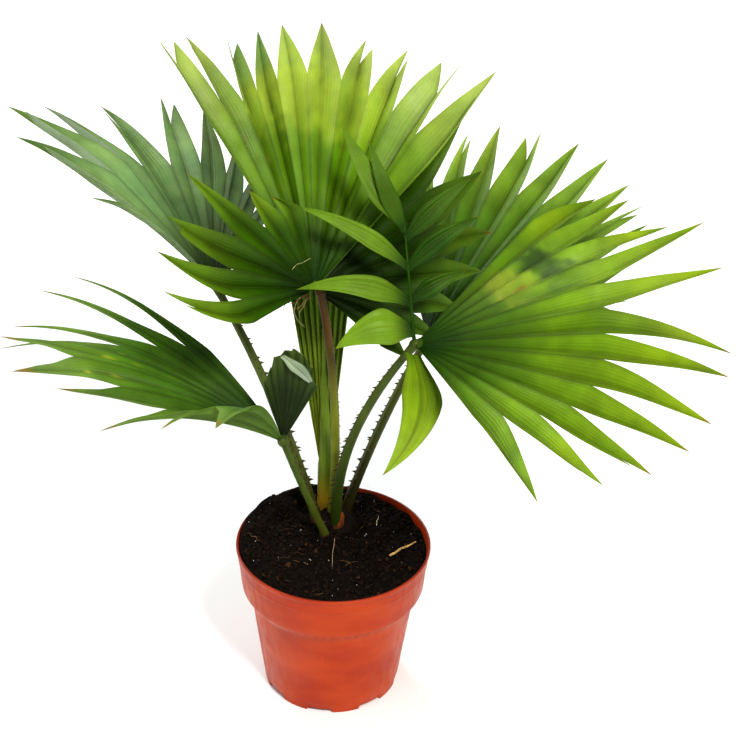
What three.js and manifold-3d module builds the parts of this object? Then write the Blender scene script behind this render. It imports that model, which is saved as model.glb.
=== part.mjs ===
// A potted footstool palm: a young fan palm in a round plastic nursery pot, with its newest leaf unopened.
// Millimetres, +Z up. The origin is the centre of the pot's flat underside, and the front is towards -Y.
import * as THREE from "three";
import { mergeVertices } from "three/addons/utils/BufferGeometryUtils.js";
import Module from "manifold-3d";

const wasm = await Module();
wasm.setup();

// Pot: a tapered cup with a stepped collar, a thin rim and drain notches round its foot
const POT = {
  height: 144,
  rim: 85,
  lip: 1.2,
  collarFoot: [80.5, 106],
  ledgeFoot: [72.5, 93],
  foot: 60,
  wall: 2,
  floor: 5,
  sides: 48,
};
const NOTCH = { count: 8, width: 22, height: 3.8, depth: 8, first: -98 };
const CLEARANCE = 0.35;

// Compost: fills the pot, a little higher at the back left, and level under the crown
const SOIL = { level: 141, rise: 2.5, riseHeading: 140, bump: 1.6, sides: 32, rings: [0.3, 0.55, 0.78, 0.93, 1] };

// Crown: the low stump that the leaf stalks rise from
const CROWN = { x: 1, y: 32, radius: 20, shoulder: 12, shoulderHeight: 10, top: 5, height: 15, sides: 20 };

// Leaf stalks: round, tapered, with a knuckle at the blade and two rows of thorns on the inner side
const STALK = { sides: 8, steps: 9, depth: 1, knuckle: 5.4 };
const THORN = { length: 3.8, width: 2.4, spacing: 13, start: 0.14, end: 0.88, spread: 38, sunk: 1.8, hook: 0.25 };

// Blades: thin pleated fans, joined from the hub to each sinus and free from there to the tips
const BLADE = { start: 6, thickness: 2.6, thinning: 0.4, pleat: 0.32, fusedRows: 3, freeRows: 3, margin: 0.42 };
const LEAFLET = { taper: 1.2, narrowed: 0.4, bendPower: 1.6, turnRate: 1.6 };
const STRAY = 0.03;
const FACING = 58.7;

// Free leaflets: single ones, folded a little along the midrib, that stand on a rib or on the hub
const FREE = { rows: 6, foot: 0.34, peak: 0.4, taper: 1.9, full: 0.86, fold: 0.2 };

// A leaf's hub is where its stalk meets the blades. A blade's tilt is the angle from level to its plane.
// Each key leaflet is [turn, lean, reach, fused share]: the turn in that plane in degrees, from the right
// and by way of the back, the lean out of it towards its face in degrees, the reach in millimetres, and
// the share of the reach that is joined to its neighbours. Leaflets between the keys follow a smooth
// curve. The droop lowers the tips: it is the blade's, or a key's fifth number. The swing moves them on
// in the keys' order, from the first leaflet's amount to the last one's. Narrow is the share of its width
// that a free leaflet loses past its sinus. A leaflet that turns aside bends its tip and turns about its
// midrib. A spray is a rib with free leaflets at distances along it, or one leaflet on its own: each has
// a turn and a lean in the tilted plane, a reach, a width, a bow to one side and a roll about its midrib.
const LEAVES = [
  {
    name: "centre",
    foot: [-3, 32],
    hub: [-19, 5, 391],
    bow: [14, 8, 0],
    radii: [4.7, 3.8],
    blades: [
      {
        part: "left",
        tilt: FACING,
        count: 6,
        droop: 10,
        start: 12,
        swing: [37, -10],
        keys: [
          [202, 46, 150, 0.56],
          [180, 43.5, 155, 0.59],
          [159, 40.5, 161, 0.6],
          [139, 37, 165, 0.6],
          [123, 32, 114, 0.76],
          [107, 26, 98, 0.78],
        ],
      },
      {
        part: "top",
        tilt: FACING,
        count: 10,
        droop: 5,
        keys: [
          [123, 8, 240, 0.62],
          [110, -8, 230, 0.74],
          [94, -6, 225, 0.8],
          [74, -12, 225, 0.74],
          [50, 4, 230, 0.62],
        ],
      },
      {
        part: "right",
        tilt: FACING,
        count: 7,
        droop: 8,
        start: 13,
        keys: [
          [52, -21, 212, 0.66],
          [12, -22, 152, 0.74],
          [-30, -26, 98, 0.74],
        ],
      },
    ],
  },
  {
    name: "right_front",
    foot: [2.6, 22.6],
    hub: [63, -10, 351],
    bow: [-38, 0, 0],
    radii: [4.8, 3.4],
    blades: [
      {
        part: "main",
        tilt: 0,
        count: 12,
        droop: 12,
        keys: [
          [44, 20, 228, 0.7],
          [16, 19, 246, 0.6],
          [-12, 11, 257, 0.6],
          [-40, 3, 253, 0.64],
          [-67, 3, 230, 0.58],
        ],
        aside: {
          3: { bend: [2, 13, 27], turn: 0 },
          4: { bend: [3, 6, 13], turn: 0 },
          5: { bend: [0, -12, -20], turn: 0 },
          6: { bend: [-3, -6, -10], turn: 0 },
          7: { bend: [-6, -6, -12], turn: 0 },
        },
      },
    ],
    sprays: [
      {
        part: "lower",
        leaflets: [{ at: 0, start: 10, turn: -103, lean: 34, reach: 124, width: 34, bow: -17, roll: 0 }],
      },
      {
        part: "wing",
        rib: { turn: 97, lean: 22, length: 112, radii: [3, 1.6] },
        leaflets: [
          { at: 12, start: 0, turn: 195, lean: 16, reach: 66, width: 31, bow: 9, roll: 0 },
          { at: 36, start: 0, turn: 176, lean: 16, reach: 94, width: 20, bow: 10, roll: -10 },
          { at: 66, start: 0, turn: 154, lean: 12, reach: 102, width: 15, bow: 7, roll: -10 },
          { at: 100, start: 0, turn: 123, lean: 8, reach: 94, width: 20, bow: -4, roll: 10 },
          { at: 96, start: 0, turn: 113, lean: 14, reach: 78, width: 15, bow: -3, roll: 10 },
          { at: 90, start: 0, turn: 43, lean: 6, reach: 70, width: 17, bow: -4, roll: 20 },
          { at: 66, start: 0, turn: 36, lean: 4, reach: 70, width: 18, bow: -5, roll: 20 },
          { at: 38, start: 0, turn: 28, lean: 2, reach: 50, width: 17, bow: -4, roll: 20 },
        ],
      },
    ],
  },
  {
    name: "left_low",
    foot: [-8, 13],
    hub: [-43, -20, 260],
    bow: [-3, 2, 3],
    radii: [4.5, 3.2],
    blades: [
      {
        part: "main",
        tilt: FACING,
        count: 10,
        start: 13,
        narrow: 0.34,
        pleat: 0.22,
        keys: [
          [117, 54, 175, 0.76, 90],
          [157, 40, 194, 0.63, 50],
          [147.5, 22, 290, 0.81, 90],
          [142, 9, 301, 0.53, 110],
          [130, -4, 300, 0.38, 110],
        ],
        aside: {
          2: { bend: [-8, 0, -5], turn: 0 },
          3: { bend: [0, 0, 18], turn: 0 },
          5: { bend: [-10, 0, 2], turn: 0 },
          6: { bend: [-9, 0, -12], turn: 0 },
          8: { bend: [0, 0, 11], turn: 0 },
        },
      },
      {
        part: "fold",
        tilt: FACING,
        count: 9,
        droop: 0,
        start: 9,
        keys: [
          [107, 33, 60, 0.975],
          [96, 33, 82, 0.98],
          [85, 31, 91, 0.985],
          [74, 29, 83, 0.98],
          [62, 27, 62, 0.975],
        ],
      },
    ],
  },
  {
    name: "left_back",
    foot: [-15, 31],
    hub: [-106, 80, 351],
    bow: [12, 2, 4],
    radii: [4.5, 3.2],
    blades: [
      {
        part: "main",
        tilt: FACING,
        count: 12,
        droop: 40,
        pleat: 0.26,
        keys: [
          [132, 46, 190, 0.6],
          [136, 26, 245, 0.57],
          [126, -20, 263, 0.52],
          [100, -30, 246, 0.58],
          [82, -48, 235, 0.6],
          [62, -56, 210, 0.58],
        ],
      },
    ],
  },
  {
    name: "right_back",
    foot: [8, 42],
    hub: [76, 60, 317],
    bow: [-11, -3, -4],
    radii: [4.5, 3.2],
    blades: [
      {
        part: "main",
        tilt: FACING,
        count: 13,
        droop: 15,
        keys: [
          [100, -38, 212, 0.6],
          [78, -28, 238, 0.64],
          [56, -20, 246, 0.66],
          [39, -13, 244, 0.66],
          [28, -18, 230, 0.62],
          [2, -34, 205, 0.58],
        ],
      },
    ],
  },
];

// The youngest leaf is still folded: a narrow, deeply pleated spear behind the centre leaf's stalk
const SPEAR = {
  foot: [-9, 45],
  hub: [-9, 46, 205],
  bow: [0, 0, 0],
  radii: [5.6, 5.2],
  blade: {
    apex: [-9, 46, 160],
    tilt: 84,
    count: 9,
    droop: 0,
    start: 42,
    pleat: 1.6,
    keys: [
      [98.6, 0, 222, 0.9],
      [92, 0, 240, 0.92],
      [85.4, 0, 226, 0.9],
    ],
  },
};

const COLOURS = {
  pot: 0xd2492f,
  soil: 0x1d1512,
  crown: 0x9a5a26,
  stalk: 0x4c6a2a,
  blade: 0x4f8f1c,
  spear: 0x6f9a34,
};

function material(colour, roughness) {
  return new THREE.MeshStandardMaterial({ color: colour, roughness, metalness: 0, side: THREE.DoubleSide });
}

// The same even-spread value between -1 and 1 for the same index and salt
function chance(index, salt) {
  const wave = Math.sin(index * 12.9898 + salt * 78.233) * 43758.5453;
  return 2 * (wave - Math.floor(wave)) - 1;
}

// The direction of a leaflet in a plane that is tipped up at its back by the tilt
function direction(turn, lean, tilt) {
  const a = THREE.MathUtils.degToRad(turn);
  const b = THREE.MathUtils.degToRad(lean);
  const flat = new THREE.Vector3(Math.cos(b) * Math.cos(a), Math.cos(b) * Math.sin(a), Math.sin(b));
  return flat.applyAxisAngle(new THREE.Vector3(1, 0, 0), THREE.MathUtils.degToRad(tilt));
}

function along(point, step, distance) {
  return point.clone().addScaledVector(step, distance);
}

// A smooth curve through evenly spaced rows of numbers, at the share u of its length
function smoothRow(rows, u) {
  const last = rows.length - 1;
  const place = u * last;
  const i = Math.min(Math.floor(place), last - 1);
  const f = place - i;
  return rows[0].map((_, column) => {
    const b = rows[i][column];
    const c = rows[i + 1][column];
    const a = i > 0 ? rows[i - 1][column] : 2 * b - c;
    const d = i + 2 <= last ? rows[i + 2][column] : 2 * c - b;
    return 0.5 * (2 * b + (c - a) * f + (2 * a - 5 * b + 4 * c - d) * f ** 2 + (3 * b - a - 3 * c + d) * f ** 3);
  });
}

function toManifold(geometry) {
  const bare = geometry.clone();
  bare.deleteAttribute("normal");
  bare.deleteAttribute("uv");
  const merged = mergeVertices(bare, 1e-4);
  return new wasm.Manifold(
    new wasm.Mesh({
      numProp: 3,
      vertProperties: new Float32Array(merged.attributes.position.array),
      triVerts: new Uint32Array(merged.index.array),
    }),
  );
}

function toGeometry(solid) {
  const mesh = solid.getMesh();
  const geometry = new THREE.BufferGeometry();
  geometry.setAttribute("position", new THREE.BufferAttribute(mesh.vertProperties, 3));
  geometry.setIndex(new THREE.BufferAttribute(mesh.triVerts, 1));
  return geometry;
}

// The largest of the pieces that a cut leaves
function largest(solid) {
  return solid.decompose().reduce((best, piece) => (piece.volume() > best.volume() ? piece : best));
}

// A closed mesh that is built from points and faces by their numbers
class Shell {
  constructor() {
    this.points = [];
    this.faces = [];
  }

  point(p) {
    this.points.push(p.x, p.y, p.z);
    return this.points.length / 3 - 1;
  }

  triangle(a, b, c) {
    this.faces.push(a, b, c);
  }

  quad(a, b, c, d) {
    this.triangle(a, b, c);
    this.triangle(a, c, d);
  }

  geometry() {
    const geometry = new THREE.BufferGeometry();
    geometry.setAttribute("position", new THREE.Float32BufferAttribute(this.points, 3));
    geometry.setIndex(this.faces);
    return geometry;
  }
}

// The leaflets of a blade: directions, reaches and sinuses, worked out from its key leaflets
function fanOf(blade) {
  const rows = blade.keys.map(([turn, lean, ...rest]) => [
    ...direction(turn, lean, blade.tilt).toArray(),
    ...rest,
  ]);
  const leaflets = [];
  for (let i = 0; i < blade.count; i++) {
    const [x, y, z, reach, share, droop = blade.droop] = smoothRow(rows, i / (blade.count - 1));
    leaflets.push({ way: new THREE.Vector3(x, y, z).normalize(), reach, share, droop });
  }
  const last = blade.count - 1;
  leaflets.forEach((leaflet, i) => {
    const before = leaflets[Math.max(i - 1, 0)].way;
    const after = leaflets[Math.min(i + 1, last)].way;
    const across = after.clone().sub(before);
    leaflet.up = across.cross(leaflet.way).normalize();
    leaflet.side = leaflet.way.clone().cross(leaflet.up).normalize();
  });
  const between = (first, second, share) => ({
    way: first.way.clone().lerp(second.way, share).normalize(),
    up: first.up.clone().lerp(second.up, share).normalize(),
    reach: THREE.MathUtils.lerp(first.reach, second.reach, share),
    droop: THREE.MathUtils.lerp(first.droop, second.droop, share),
    fused: THREE.MathUtils.lerp(first.share, second.share, share) * Math.min(first.reach, second.reach),
    width: first.way.angleTo(second.way),
  });
  const edges = [between(leaflets[0], leaflets[1], -BLADE.margin)];
  for (let j = 1; j <= last; j++) {
    edges.push(between(leaflets[j - 1], leaflets[j], 0.5));
  }
  edges.push(between(leaflets[last], leaflets[last - 1], -BLADE.margin));
  return { leaflets, edges };
}

// One blade as a closed thin shell, pleated, and cut between its leaflets from each sinus to the tips
function bladeGeometry(hub, blade) {
  const { leaflets, edges } = fanOf(blade);
  const centre = new THREE.Vector3(...(blade.apex ?? hub));
  const shell = new Shell();
  const start = blade.start ?? BLADE.start;
  const pleat = blade.pleat ?? BLADE.pleat;
  const swing = blade.swing ?? [0, 0];
  const sag = ({ droop, reach }, r) => -droop * (r / reach) ** 2;
  const narrow = blade.narrow ?? 0;
  const narrowing = (t) => 1 - narrow * THREE.MathUtils.smoothstep(t, 0, LEAFLET.narrowed);
  const widthAt = (t) => (1 - t ** LEAFLET.taper) * narrowing(t);

  const onEdge = (edge, r) => {
    const point = along(centre, edge.way, r);
    point.z += sag(edge, r);
    return point.addScaledVector(edge.up, pleat * r * edge.width);
  };
  const pair = (point, up, thickness) => ({
    top: shell.point(along(point, up, thickness / 2)),
    under: shell.point(along(point, up, -thickness / 2)),
  });

  edges.forEach((edge) => {
    edge.rows = [];
    for (let k = 0; k <= BLADE.fusedRows; k++) {
      const r = THREE.MathUtils.lerp(start, edge.fused, k / BLADE.fusedRows);
      edge.rows.push(pair(onEdge(edge, r), edge.up, BLADE.thickness));
    }
  });

  leaflets.forEach((leaflet, i) => {
    const { way, up, side, reach } = leaflet;
    const aside = blade.aside?.[i] ?? { bend: [0, 0, 0], turn: 0 };
    const onward = THREE.MathUtils.lerp(...swing, i / (leaflets.length - 1));
    const bend = new THREE.Vector3(...aside.bend)
      .addScaledVector(side, onward)
      .addScaledVector(side, STRAY * reach * chance(i, blade.count))
      .addScaledVector(up, STRAY * reach * chance(i, blade.count + 0.5));
    const both = [edges[i], edges[i + 1]];
    const starts = both.map((edge) => edge.fused * edge.way.dot(way));
    const first = Math.min(...starts);
    const midrib = (r) => {
      const t = Math.max(0, (r - first) / (reach - first));
      const point = along(centre, way, r).addScaledVector(bend, t ** LEAFLET.bendPower);
      point.z += sag(leaflet, r);
      return point;
    };
    const offsets = both.map((edge, s) => onEdge(edge, edge.fused).sub(midrib(starts[s])));
    const twisted = (vector, t) => {
      const angle = THREE.MathUtils.degToRad(aside.turn) * Math.min(1, LEAFLET.turnRate * t);
      return vector.clone().applyAxisAngle(way, angle);
    };

    const middleStart = (starts[0] + starts[1]) / 2;
    const middle = [];
    for (let k = 0; k <= BLADE.fusedRows; k++) {
      const r = THREE.MathUtils.lerp(start, middleStart, k / BLADE.fusedRows);
      middle.push(pair(midrib(r), up, BLADE.thickness));
    }
    const sides = both.map((edge) => [...edge.rows]);
    for (let k = 1; k < BLADE.freeRows; k++) {
      const t = k / BLADE.freeRows;
      const thickness = BLADE.thickness * (1 - BLADE.thinning * t);
      middle.push(pair(midrib(THREE.MathUtils.lerp(middleStart, reach, t)), twisted(up, t), thickness));
      sides.forEach((rows, s) => {
        const base = midrib(THREE.MathUtils.lerp(starts[s], reach, t));
        const point = base.add(twisted(offsets[s], t).multiplyScalar(widthAt(t)));
        rows.push(pair(point, twisted(up, t), thickness));
      });
    }
    const tip = shell.point(midrib(reach));
    const end = { top: tip, under: tip };
    middle.push(end);
    sides.forEach((rows) => rows.push(end));

    const [left, right] = sides;
    const strips = [
      [left, middle],
      [middle, right],
    ];
    for (let k = 0; k < middle.length - 1; k++) {
      const closing = k === middle.length - 2;
      for (const [a, b] of strips) {
        if (closing) {
          shell.triangle(a[k].top, b[k].top, tip);
          shell.triangle(b[k].under, a[k].under, tip);
        } else {
          shell.quad(a[k].top, b[k].top, b[k + 1].top, a[k + 1].top);
          shell.quad(b[k].under, a[k].under, a[k + 1].under, b[k + 1].under);
        }
      }
      const walled = [k >= BLADE.fusedRows || i === 0, k >= BLADE.fusedRows || i === leaflets.length - 1];
      if (walled[0]) {
        shell.triangle(left[k].under, left[k].top, left[k + 1].top);
        if (!closing) shell.triangle(left[k].under, left[k + 1].top, left[k + 1].under);
      }
      if (walled[1]) {
        shell.triangle(right[k].top, right[k].under, right[k + 1].top);
        if (!closing) shell.triangle(right[k].under, right[k + 1].under, right[k + 1].top);
      }
    }
    shell.quad(left[0].top, left[0].under, middle[0].under, middle[0].top);
    shell.quad(middle[0].top, middle[0].under, right[0].under, right[0].top);
  });
  return shell.geometry();
}

// One free leaflet as a closed thin shell: narrow at its foot, broad before its middle, pointed at its end
function leafletSolid(foot, leaflet) {
  const way = direction(leaflet.turn, leaflet.lean, FACING);
  const face = direction(0, 90, FACING);
  const up = face.addScaledVector(way, -face.dot(way)).normalize();
  up.applyAxisAngle(way, THREE.MathUtils.degToRad(leaflet.roll));
  const side = way.clone().cross(up).normalize();
  const midrib = (t) =>
    along(foot, way, THREE.MathUtils.lerp(leaflet.start, leaflet.reach, t)).addScaledVector(
      side,
      leaflet.bow * 4 * t * (1 - t),
    );
  const halfWidth = (t) => {
    const opened = FREE.foot + (1 - FREE.foot) * THREE.MathUtils.smoothstep(t, 0, FREE.peak);
    return ((leaflet.width / 2) * opened * (1 - t ** FREE.taper)) / FREE.full;
  };
  const shell = new Shell();
  const rows = [];
  for (let k = 0; k < FREE.rows; k++) {
    const t = k / FREE.rows;
    const thickness = BLADE.thickness * (1 - BLADE.thinning * t);
    const row = [-1, 0, 1].map((across) => {
      const point = along(midrib(t), side, across * halfWidth(t));
      point.addScaledVector(up, Math.abs(across) * FREE.fold * halfWidth(t));
      return {
        top: shell.point(along(point, up, thickness / 2)),
        under: shell.point(along(point, up, -thickness / 2)),
      };
    });
    rows.push(row);
  }
  const tip = shell.point(midrib(1));
  rows.slice(0, -1).forEach((row, k) => {
    const next = rows[k + 1];
    for (const i of [0, 1]) {
      shell.quad(row[i].top, row[i + 1].top, next[i + 1].top, next[i].top);
      shell.quad(row[i + 1].under, row[i].under, next[i].under, next[i + 1].under);
    }
    shell.quad(row[0].under, row[0].top, next[0].top, next[0].under);
    shell.quad(row[2].top, row[2].under, next[2].under, next[2].top);
  });
  const end = rows[rows.length - 1];
  const first = rows[0];
  for (const i of [0, 1]) {
    shell.triangle(end[i].top, end[i + 1].top, tip);
    shell.triangle(end[i + 1].under, end[i].under, tip);
    shell.quad(first[i].top, first[i].under, first[i + 1].under, first[i + 1].top);
  }
  shell.triangle(end[0].under, end[0].top, tip);
  shell.triangle(end[2].top, end[2].under, tip);
  return toManifold(shell.geometry());
}

// A spray: its rib, if it has one, joined with its free leaflets
function sprayGeometry(hub, spray) {
  const centre = new THREE.Vector3(...hub);
  const solids = [];
  const { rib } = spray;
  const ribWay = rib ? direction(rib.turn, rib.lean, FACING) : new THREE.Vector3();
  if (rib) {
    const stem = new THREE.CylinderGeometry(rib.radii[1], rib.radii[0], rib.length - BLADE.start, 6);
    stem.translate(0, (rib.length + BLADE.start) / 2, 0);
    stem.applyQuaternion(new THREE.Quaternion().setFromUnitVectors(new THREE.Vector3(0, 1, 0), ribWay));
    solids.push(toManifold(stem.translate(...hub)));
  }
  spray.leaflets.forEach((leaflet) => {
    solids.push(leafletSolid(along(centre, ribWay, leaflet.at), leaflet));
  });
  return toGeometry(solids.reduce((whole, piece) => whole.add(piece)));
}

// A solid of revolution from a profile of [radius, height], which starts and ends on the axis
function turned(profile, sides) {
  const points = profile.map(([radius, height]) => new THREE.Vector2(radius, height));
  return new THREE.LatheGeometry(points, sides).rotateX(Math.PI / 2);
}

// The pot's outer radius under the rim, from the foot to the ledge and up the collar, less a wall
function potSide(inset) {
  const [ledgeRadius, ledgeHeight] = POT.ledgeFoot;
  const [collarRadius, collarHeight] = POT.collarFoot;
  return [
    [POT.foot - inset, 0],
    [ledgeRadius - inset, ledgeHeight],
    [collarRadius - inset, collarHeight],
    [POT.rim - POT.lip - inset, POT.height - 4],
  ];
}

function potGeometry() {
  const outer = potSide(0);
  const inner = potSide(POT.wall).reverse();
  inner[inner.length - 1][1] = POT.floor;
  const rim = [
    [POT.rim, POT.height - 2.5],
    [POT.rim, POT.height - 0.6],
    [POT.rim - 0.6, POT.height],
    [POT.rim - POT.wall, POT.height],
  ];
  let solid = toManifold(turned([[0, 0], ...outer, ...rim, ...inner, [0, POT.floor]], POT.sides));
  for (let i = 0; i < NOTCH.count; i++) {
    const box = new THREE.BoxGeometry(2 * NOTCH.depth, NOTCH.width, 2 * NOTCH.height);
    box.translate(POT.foot, 0, 0);
    box.rotateZ(THREE.MathUtils.degToRad(NOTCH.first + (360 * i) / NOTCH.count));
    solid = solid.subtract(toManifold(box));
  }
  return toGeometry(solid);
}

// The compost's height over a point, in soft lumps, higher towards one side
function soilHeight(x, y) {
  const lumps = Math.sin(x * 0.11 + 1) * Math.cos(y * 0.13) + 0.6 * Math.sin(x * 0.23 - y * 0.19 + 2);
  const heading = THREE.MathUtils.degToRad(SOIL.riseHeading);
  const side = (x * Math.cos(heading) + y * Math.sin(heading)) / POT.rim;
  return SOIL.level + SOIL.bump * lumps + SOIL.rise * side;
}

function soilGeometry() {
  const inset = POT.wall + CLEARANCE + 0.15;
  const wall = potSide(inset).map(([radius, height]) => [radius, Math.max(height, POT.floor + CLEARANCE)]);
  const shell = new Shell();
  const ring = (radius, heightAt) => {
    const ids = [];
    for (let i = 0; i < SOIL.sides; i++) {
      const angle = (2 * Math.PI * i) / SOIL.sides;
      const x = radius * Math.cos(angle);
      const y = radius * Math.sin(angle);
      ids.push(shell.point(new THREE.Vector3(x, y, heightAt(x, y))));
    }
    return ids;
  };
  const top = wall[wall.length - 1][0];
  const rings = wall.slice(0, -1).map(([radius, height]) => ring(radius, () => height));
  rings.push(...[...SOIL.rings].reverse().map((share) => ring(top * share, soilHeight)));
  const floor = shell.point(new THREE.Vector3(0, 0, wall[0][1]));
  const middle = shell.point(new THREE.Vector3(0, 0, soilHeight(0, 0)));
  const next = (i) => (i + 1) % SOIL.sides;
  for (let i = 0; i < SOIL.sides; i++) {
    shell.triangle(floor, rings[0][next(i)], rings[0][i]);
    for (let k = 0; k + 1 < rings.length; k++) {
      shell.quad(rings[k][i], rings[k][next(i)], rings[k + 1][next(i)], rings[k + 1][i]);
    }
    shell.triangle(rings[rings.length - 1][i], rings[rings.length - 1][next(i)], middle);
  }
  return shell.geometry();
}

// The crown's stump, or with a margin the room that it takes
function crownSolid(margin) {
  const profile = [
    [0, -margin],
    [CROWN.radius + margin, -margin],
    [CROWN.radius + margin, 1],
    [CROWN.shoulder + margin, CROWN.shoulderHeight],
    [CROWN.top + margin, CROWN.height + margin],
    [0, CROWN.height + margin],
  ];
  return toManifold(turned(profile, CROWN.sides).translate(CROWN.x, CROWN.y, SOIL.level));
}

function stalkCurve(leaf) {
  const foot = new THREE.Vector3(...leaf.foot, SOIL.level + STALK.depth);
  const hub = new THREE.Vector3(...leaf.hub);
  const bend = foot.clone().lerp(hub, 0.5).add(new THREE.Vector3(...leaf.bow));
  return new THREE.QuadraticBezierCurve3(foot, bend, hub);
}

// A tapered round stalk along its curve, with a knuckle at its end
function stalkSolid(leaf, margin) {
  const curve = stalkCurve(leaf);
  const frames = curve.computeFrenetFrames(STALK.steps);
  const shell = new Shell();
  const rings = [];
  for (let k = 0; k <= STALK.steps; k++) {
    const t = k / STALK.steps;
    const centre = curve.getPointAt(t);
    const radius = THREE.MathUtils.lerp(...leaf.radii, t) + margin;
    const ids = [];
    for (let i = 0; i < STALK.sides; i++) {
      const angle = (2 * Math.PI * i) / STALK.sides;
      const point = along(centre, frames.normals[k], radius * Math.cos(angle));
      ids.push(shell.point(point.addScaledVector(frames.binormals[k], radius * Math.sin(angle))));
    }
    rings.push(ids);
  }
  const caps = [curve.getPointAt(0), curve.getPointAt(1)].map((point) => shell.point(point));
  for (let i = 0; i < STALK.sides; i++) {
    const j = (i + 1) % STALK.sides;
    shell.triangle(caps[0], rings[0][j], rings[0][i]);
    shell.triangle(caps[1], rings[STALK.steps][i], rings[STALK.steps][j]);
    for (let k = 0; k < STALK.steps; k++) {
      shell.quad(rings[k][i], rings[k][j], rings[k + 1][j], rings[k + 1][i]);
    }
  }
  const knuckle = new THREE.IcosahedronGeometry(STALK.knuckle + margin, 1).translate(...leaf.hub);
  return toManifold(shell.geometry()).add(toManifold(knuckle));
}

// Small pointed thorns in two rows on the side of the stalk that faces the middle of the plant
function thorns(leaf) {
  const curve = stalkCurve(leaf);
  const length = curve.getLength();
  const count = Math.floor((length * (THORN.end - THORN.start)) / THORN.spacing);
  const solids = [];
  for (let i = 0; i < count; i++) {
    const t = THORN.start + ((THORN.end - THORN.start) * i) / count;
    const tangent = curve.getTangentAt(t);
    const centre = curve.getPointAt(t);
    const inward = new THREE.Vector3(CROWN.x - leaf.hub[0], CROWN.y - leaf.hub[1], 0);
    inward.addScaledVector(tangent, -inward.dot(tangent)).normalize();
    const spread = THREE.MathUtils.degToRad(i % 2 ? THORN.spread : -THORN.spread);
    inward.applyAxisAngle(tangent, spread);
    const size = 1 + 0.2 * chance(i, leaf.hub[0]);
    const spike = new THREE.ConeGeometry(THORN.width / 2, THORN.length * size + THORN.sunk, 4);
    const radius = THREE.MathUtils.lerp(...leaf.radii, t);
    spike.translate(0, (THORN.length * size - THORN.sunk) / 2 + radius, 0);
    const lean = inward.clone().addScaledVector(tangent, -THORN.hook).normalize();
    spike.applyQuaternion(new THREE.Quaternion().setFromUnitVectors(new THREE.Vector3(0, 1, 0), lean));
    solids.push(toManifold(spike.translate(centre.x, centre.y, centre.z)));
  }
  return solids;
}

const plant = new THREE.Group();

function addPart(name, geometry, colour, roughness = 0.6) {
  const mesh = new THREE.Mesh(geometry, material(colour, roughness));
  mesh.name = name;
  plant.add(mesh);
}

const crownRoom = crownSolid(CLEARANCE);
let soil = toManifold(soilGeometry()).subtract(crownRoom);

for (const leaf of LEAVES) {
  let stalk = stalkSolid(leaf, 0);
  thorns(leaf).forEach((spike) => {
    stalk = stalk.add(spike);
  });
  addPart("stalk_" + leaf.name, toGeometry(largest(stalk.subtract(crownRoom))), COLOURS.stalk);
  soil = soil.subtract(stalkSolid(leaf, CLEARANCE));
  for (const blade of leaf.blades) {
    addPart("blade_" + leaf.name + "_" + blade.part, bladeGeometry(leaf.hub, blade), COLOURS.blade, 0.45);
  }
  for (const spray of leaf.sprays ?? []) {
    addPart("blade_" + leaf.name + "_" + spray.part, sprayGeometry(leaf.hub, spray), COLOURS.blade, 0.45);
  }
}

const spearStalk = stalkSolid(SPEAR, 0).subtract(crownRoom);
const spearBlade = toManifold(bladeGeometry(SPEAR.hub, SPEAR.blade));
addPart("spear_leaf", toGeometry(spearStalk.add(spearBlade)), COLOURS.spear, 0.45);
soil = soil.subtract(stalkSolid(SPEAR, CLEARANCE));

addPart("crown_base", toGeometry(crownSolid(0)), COLOURS.crown, 0.8);
addPart("soil", toGeometry(soil), COLOURS.soil, 0.95);
addPart("pot", potGeometry(), COLOURS.pot, 0.5);

export default plant;
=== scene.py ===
# The looks of the potted footstool palm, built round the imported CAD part.
# Shapes are worked out in millimetres, +Z up, with the front towards -Y, and turned to metres at the end.
import itertools
import math

import bpy
import numpy as np
from mathutils import Matrix, Vector


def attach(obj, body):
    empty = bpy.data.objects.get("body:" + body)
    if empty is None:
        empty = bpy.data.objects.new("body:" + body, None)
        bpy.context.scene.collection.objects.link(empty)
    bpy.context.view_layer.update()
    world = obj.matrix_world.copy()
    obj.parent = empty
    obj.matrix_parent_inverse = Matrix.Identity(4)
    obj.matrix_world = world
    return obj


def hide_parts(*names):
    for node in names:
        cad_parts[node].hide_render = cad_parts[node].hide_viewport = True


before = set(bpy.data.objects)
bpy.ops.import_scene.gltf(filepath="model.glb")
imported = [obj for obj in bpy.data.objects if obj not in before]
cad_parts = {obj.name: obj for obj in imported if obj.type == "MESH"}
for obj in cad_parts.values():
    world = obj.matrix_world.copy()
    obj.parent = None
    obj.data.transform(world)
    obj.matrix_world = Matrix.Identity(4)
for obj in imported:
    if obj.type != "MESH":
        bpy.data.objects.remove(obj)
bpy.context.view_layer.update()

MM = 0.001
WELD_STEPS_PER_MM = 2000

# Pot, compost and crown: the source's named sizes
POT = {
    "height": 144, "rim": 85, "lip": 1.2, "foot": 60, "wall": 2, "floor": 5,
    "collar_foot": (80.5, 106), "ledge_foot": (72.5, 93),
}
NOTCH = {"count": 8, "width": 22, "height": 3.8, "depth": 8, "first": -98}
SOIL = {"level": 141, "rise": 2.5, "rise_heading": 140, "bump": 1.6}
CROWN = {"x": 1, "y": 32, "radius": 20, "shoulder": 12, "shoulder_height": 10, "top": 5, "height": 15}

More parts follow.
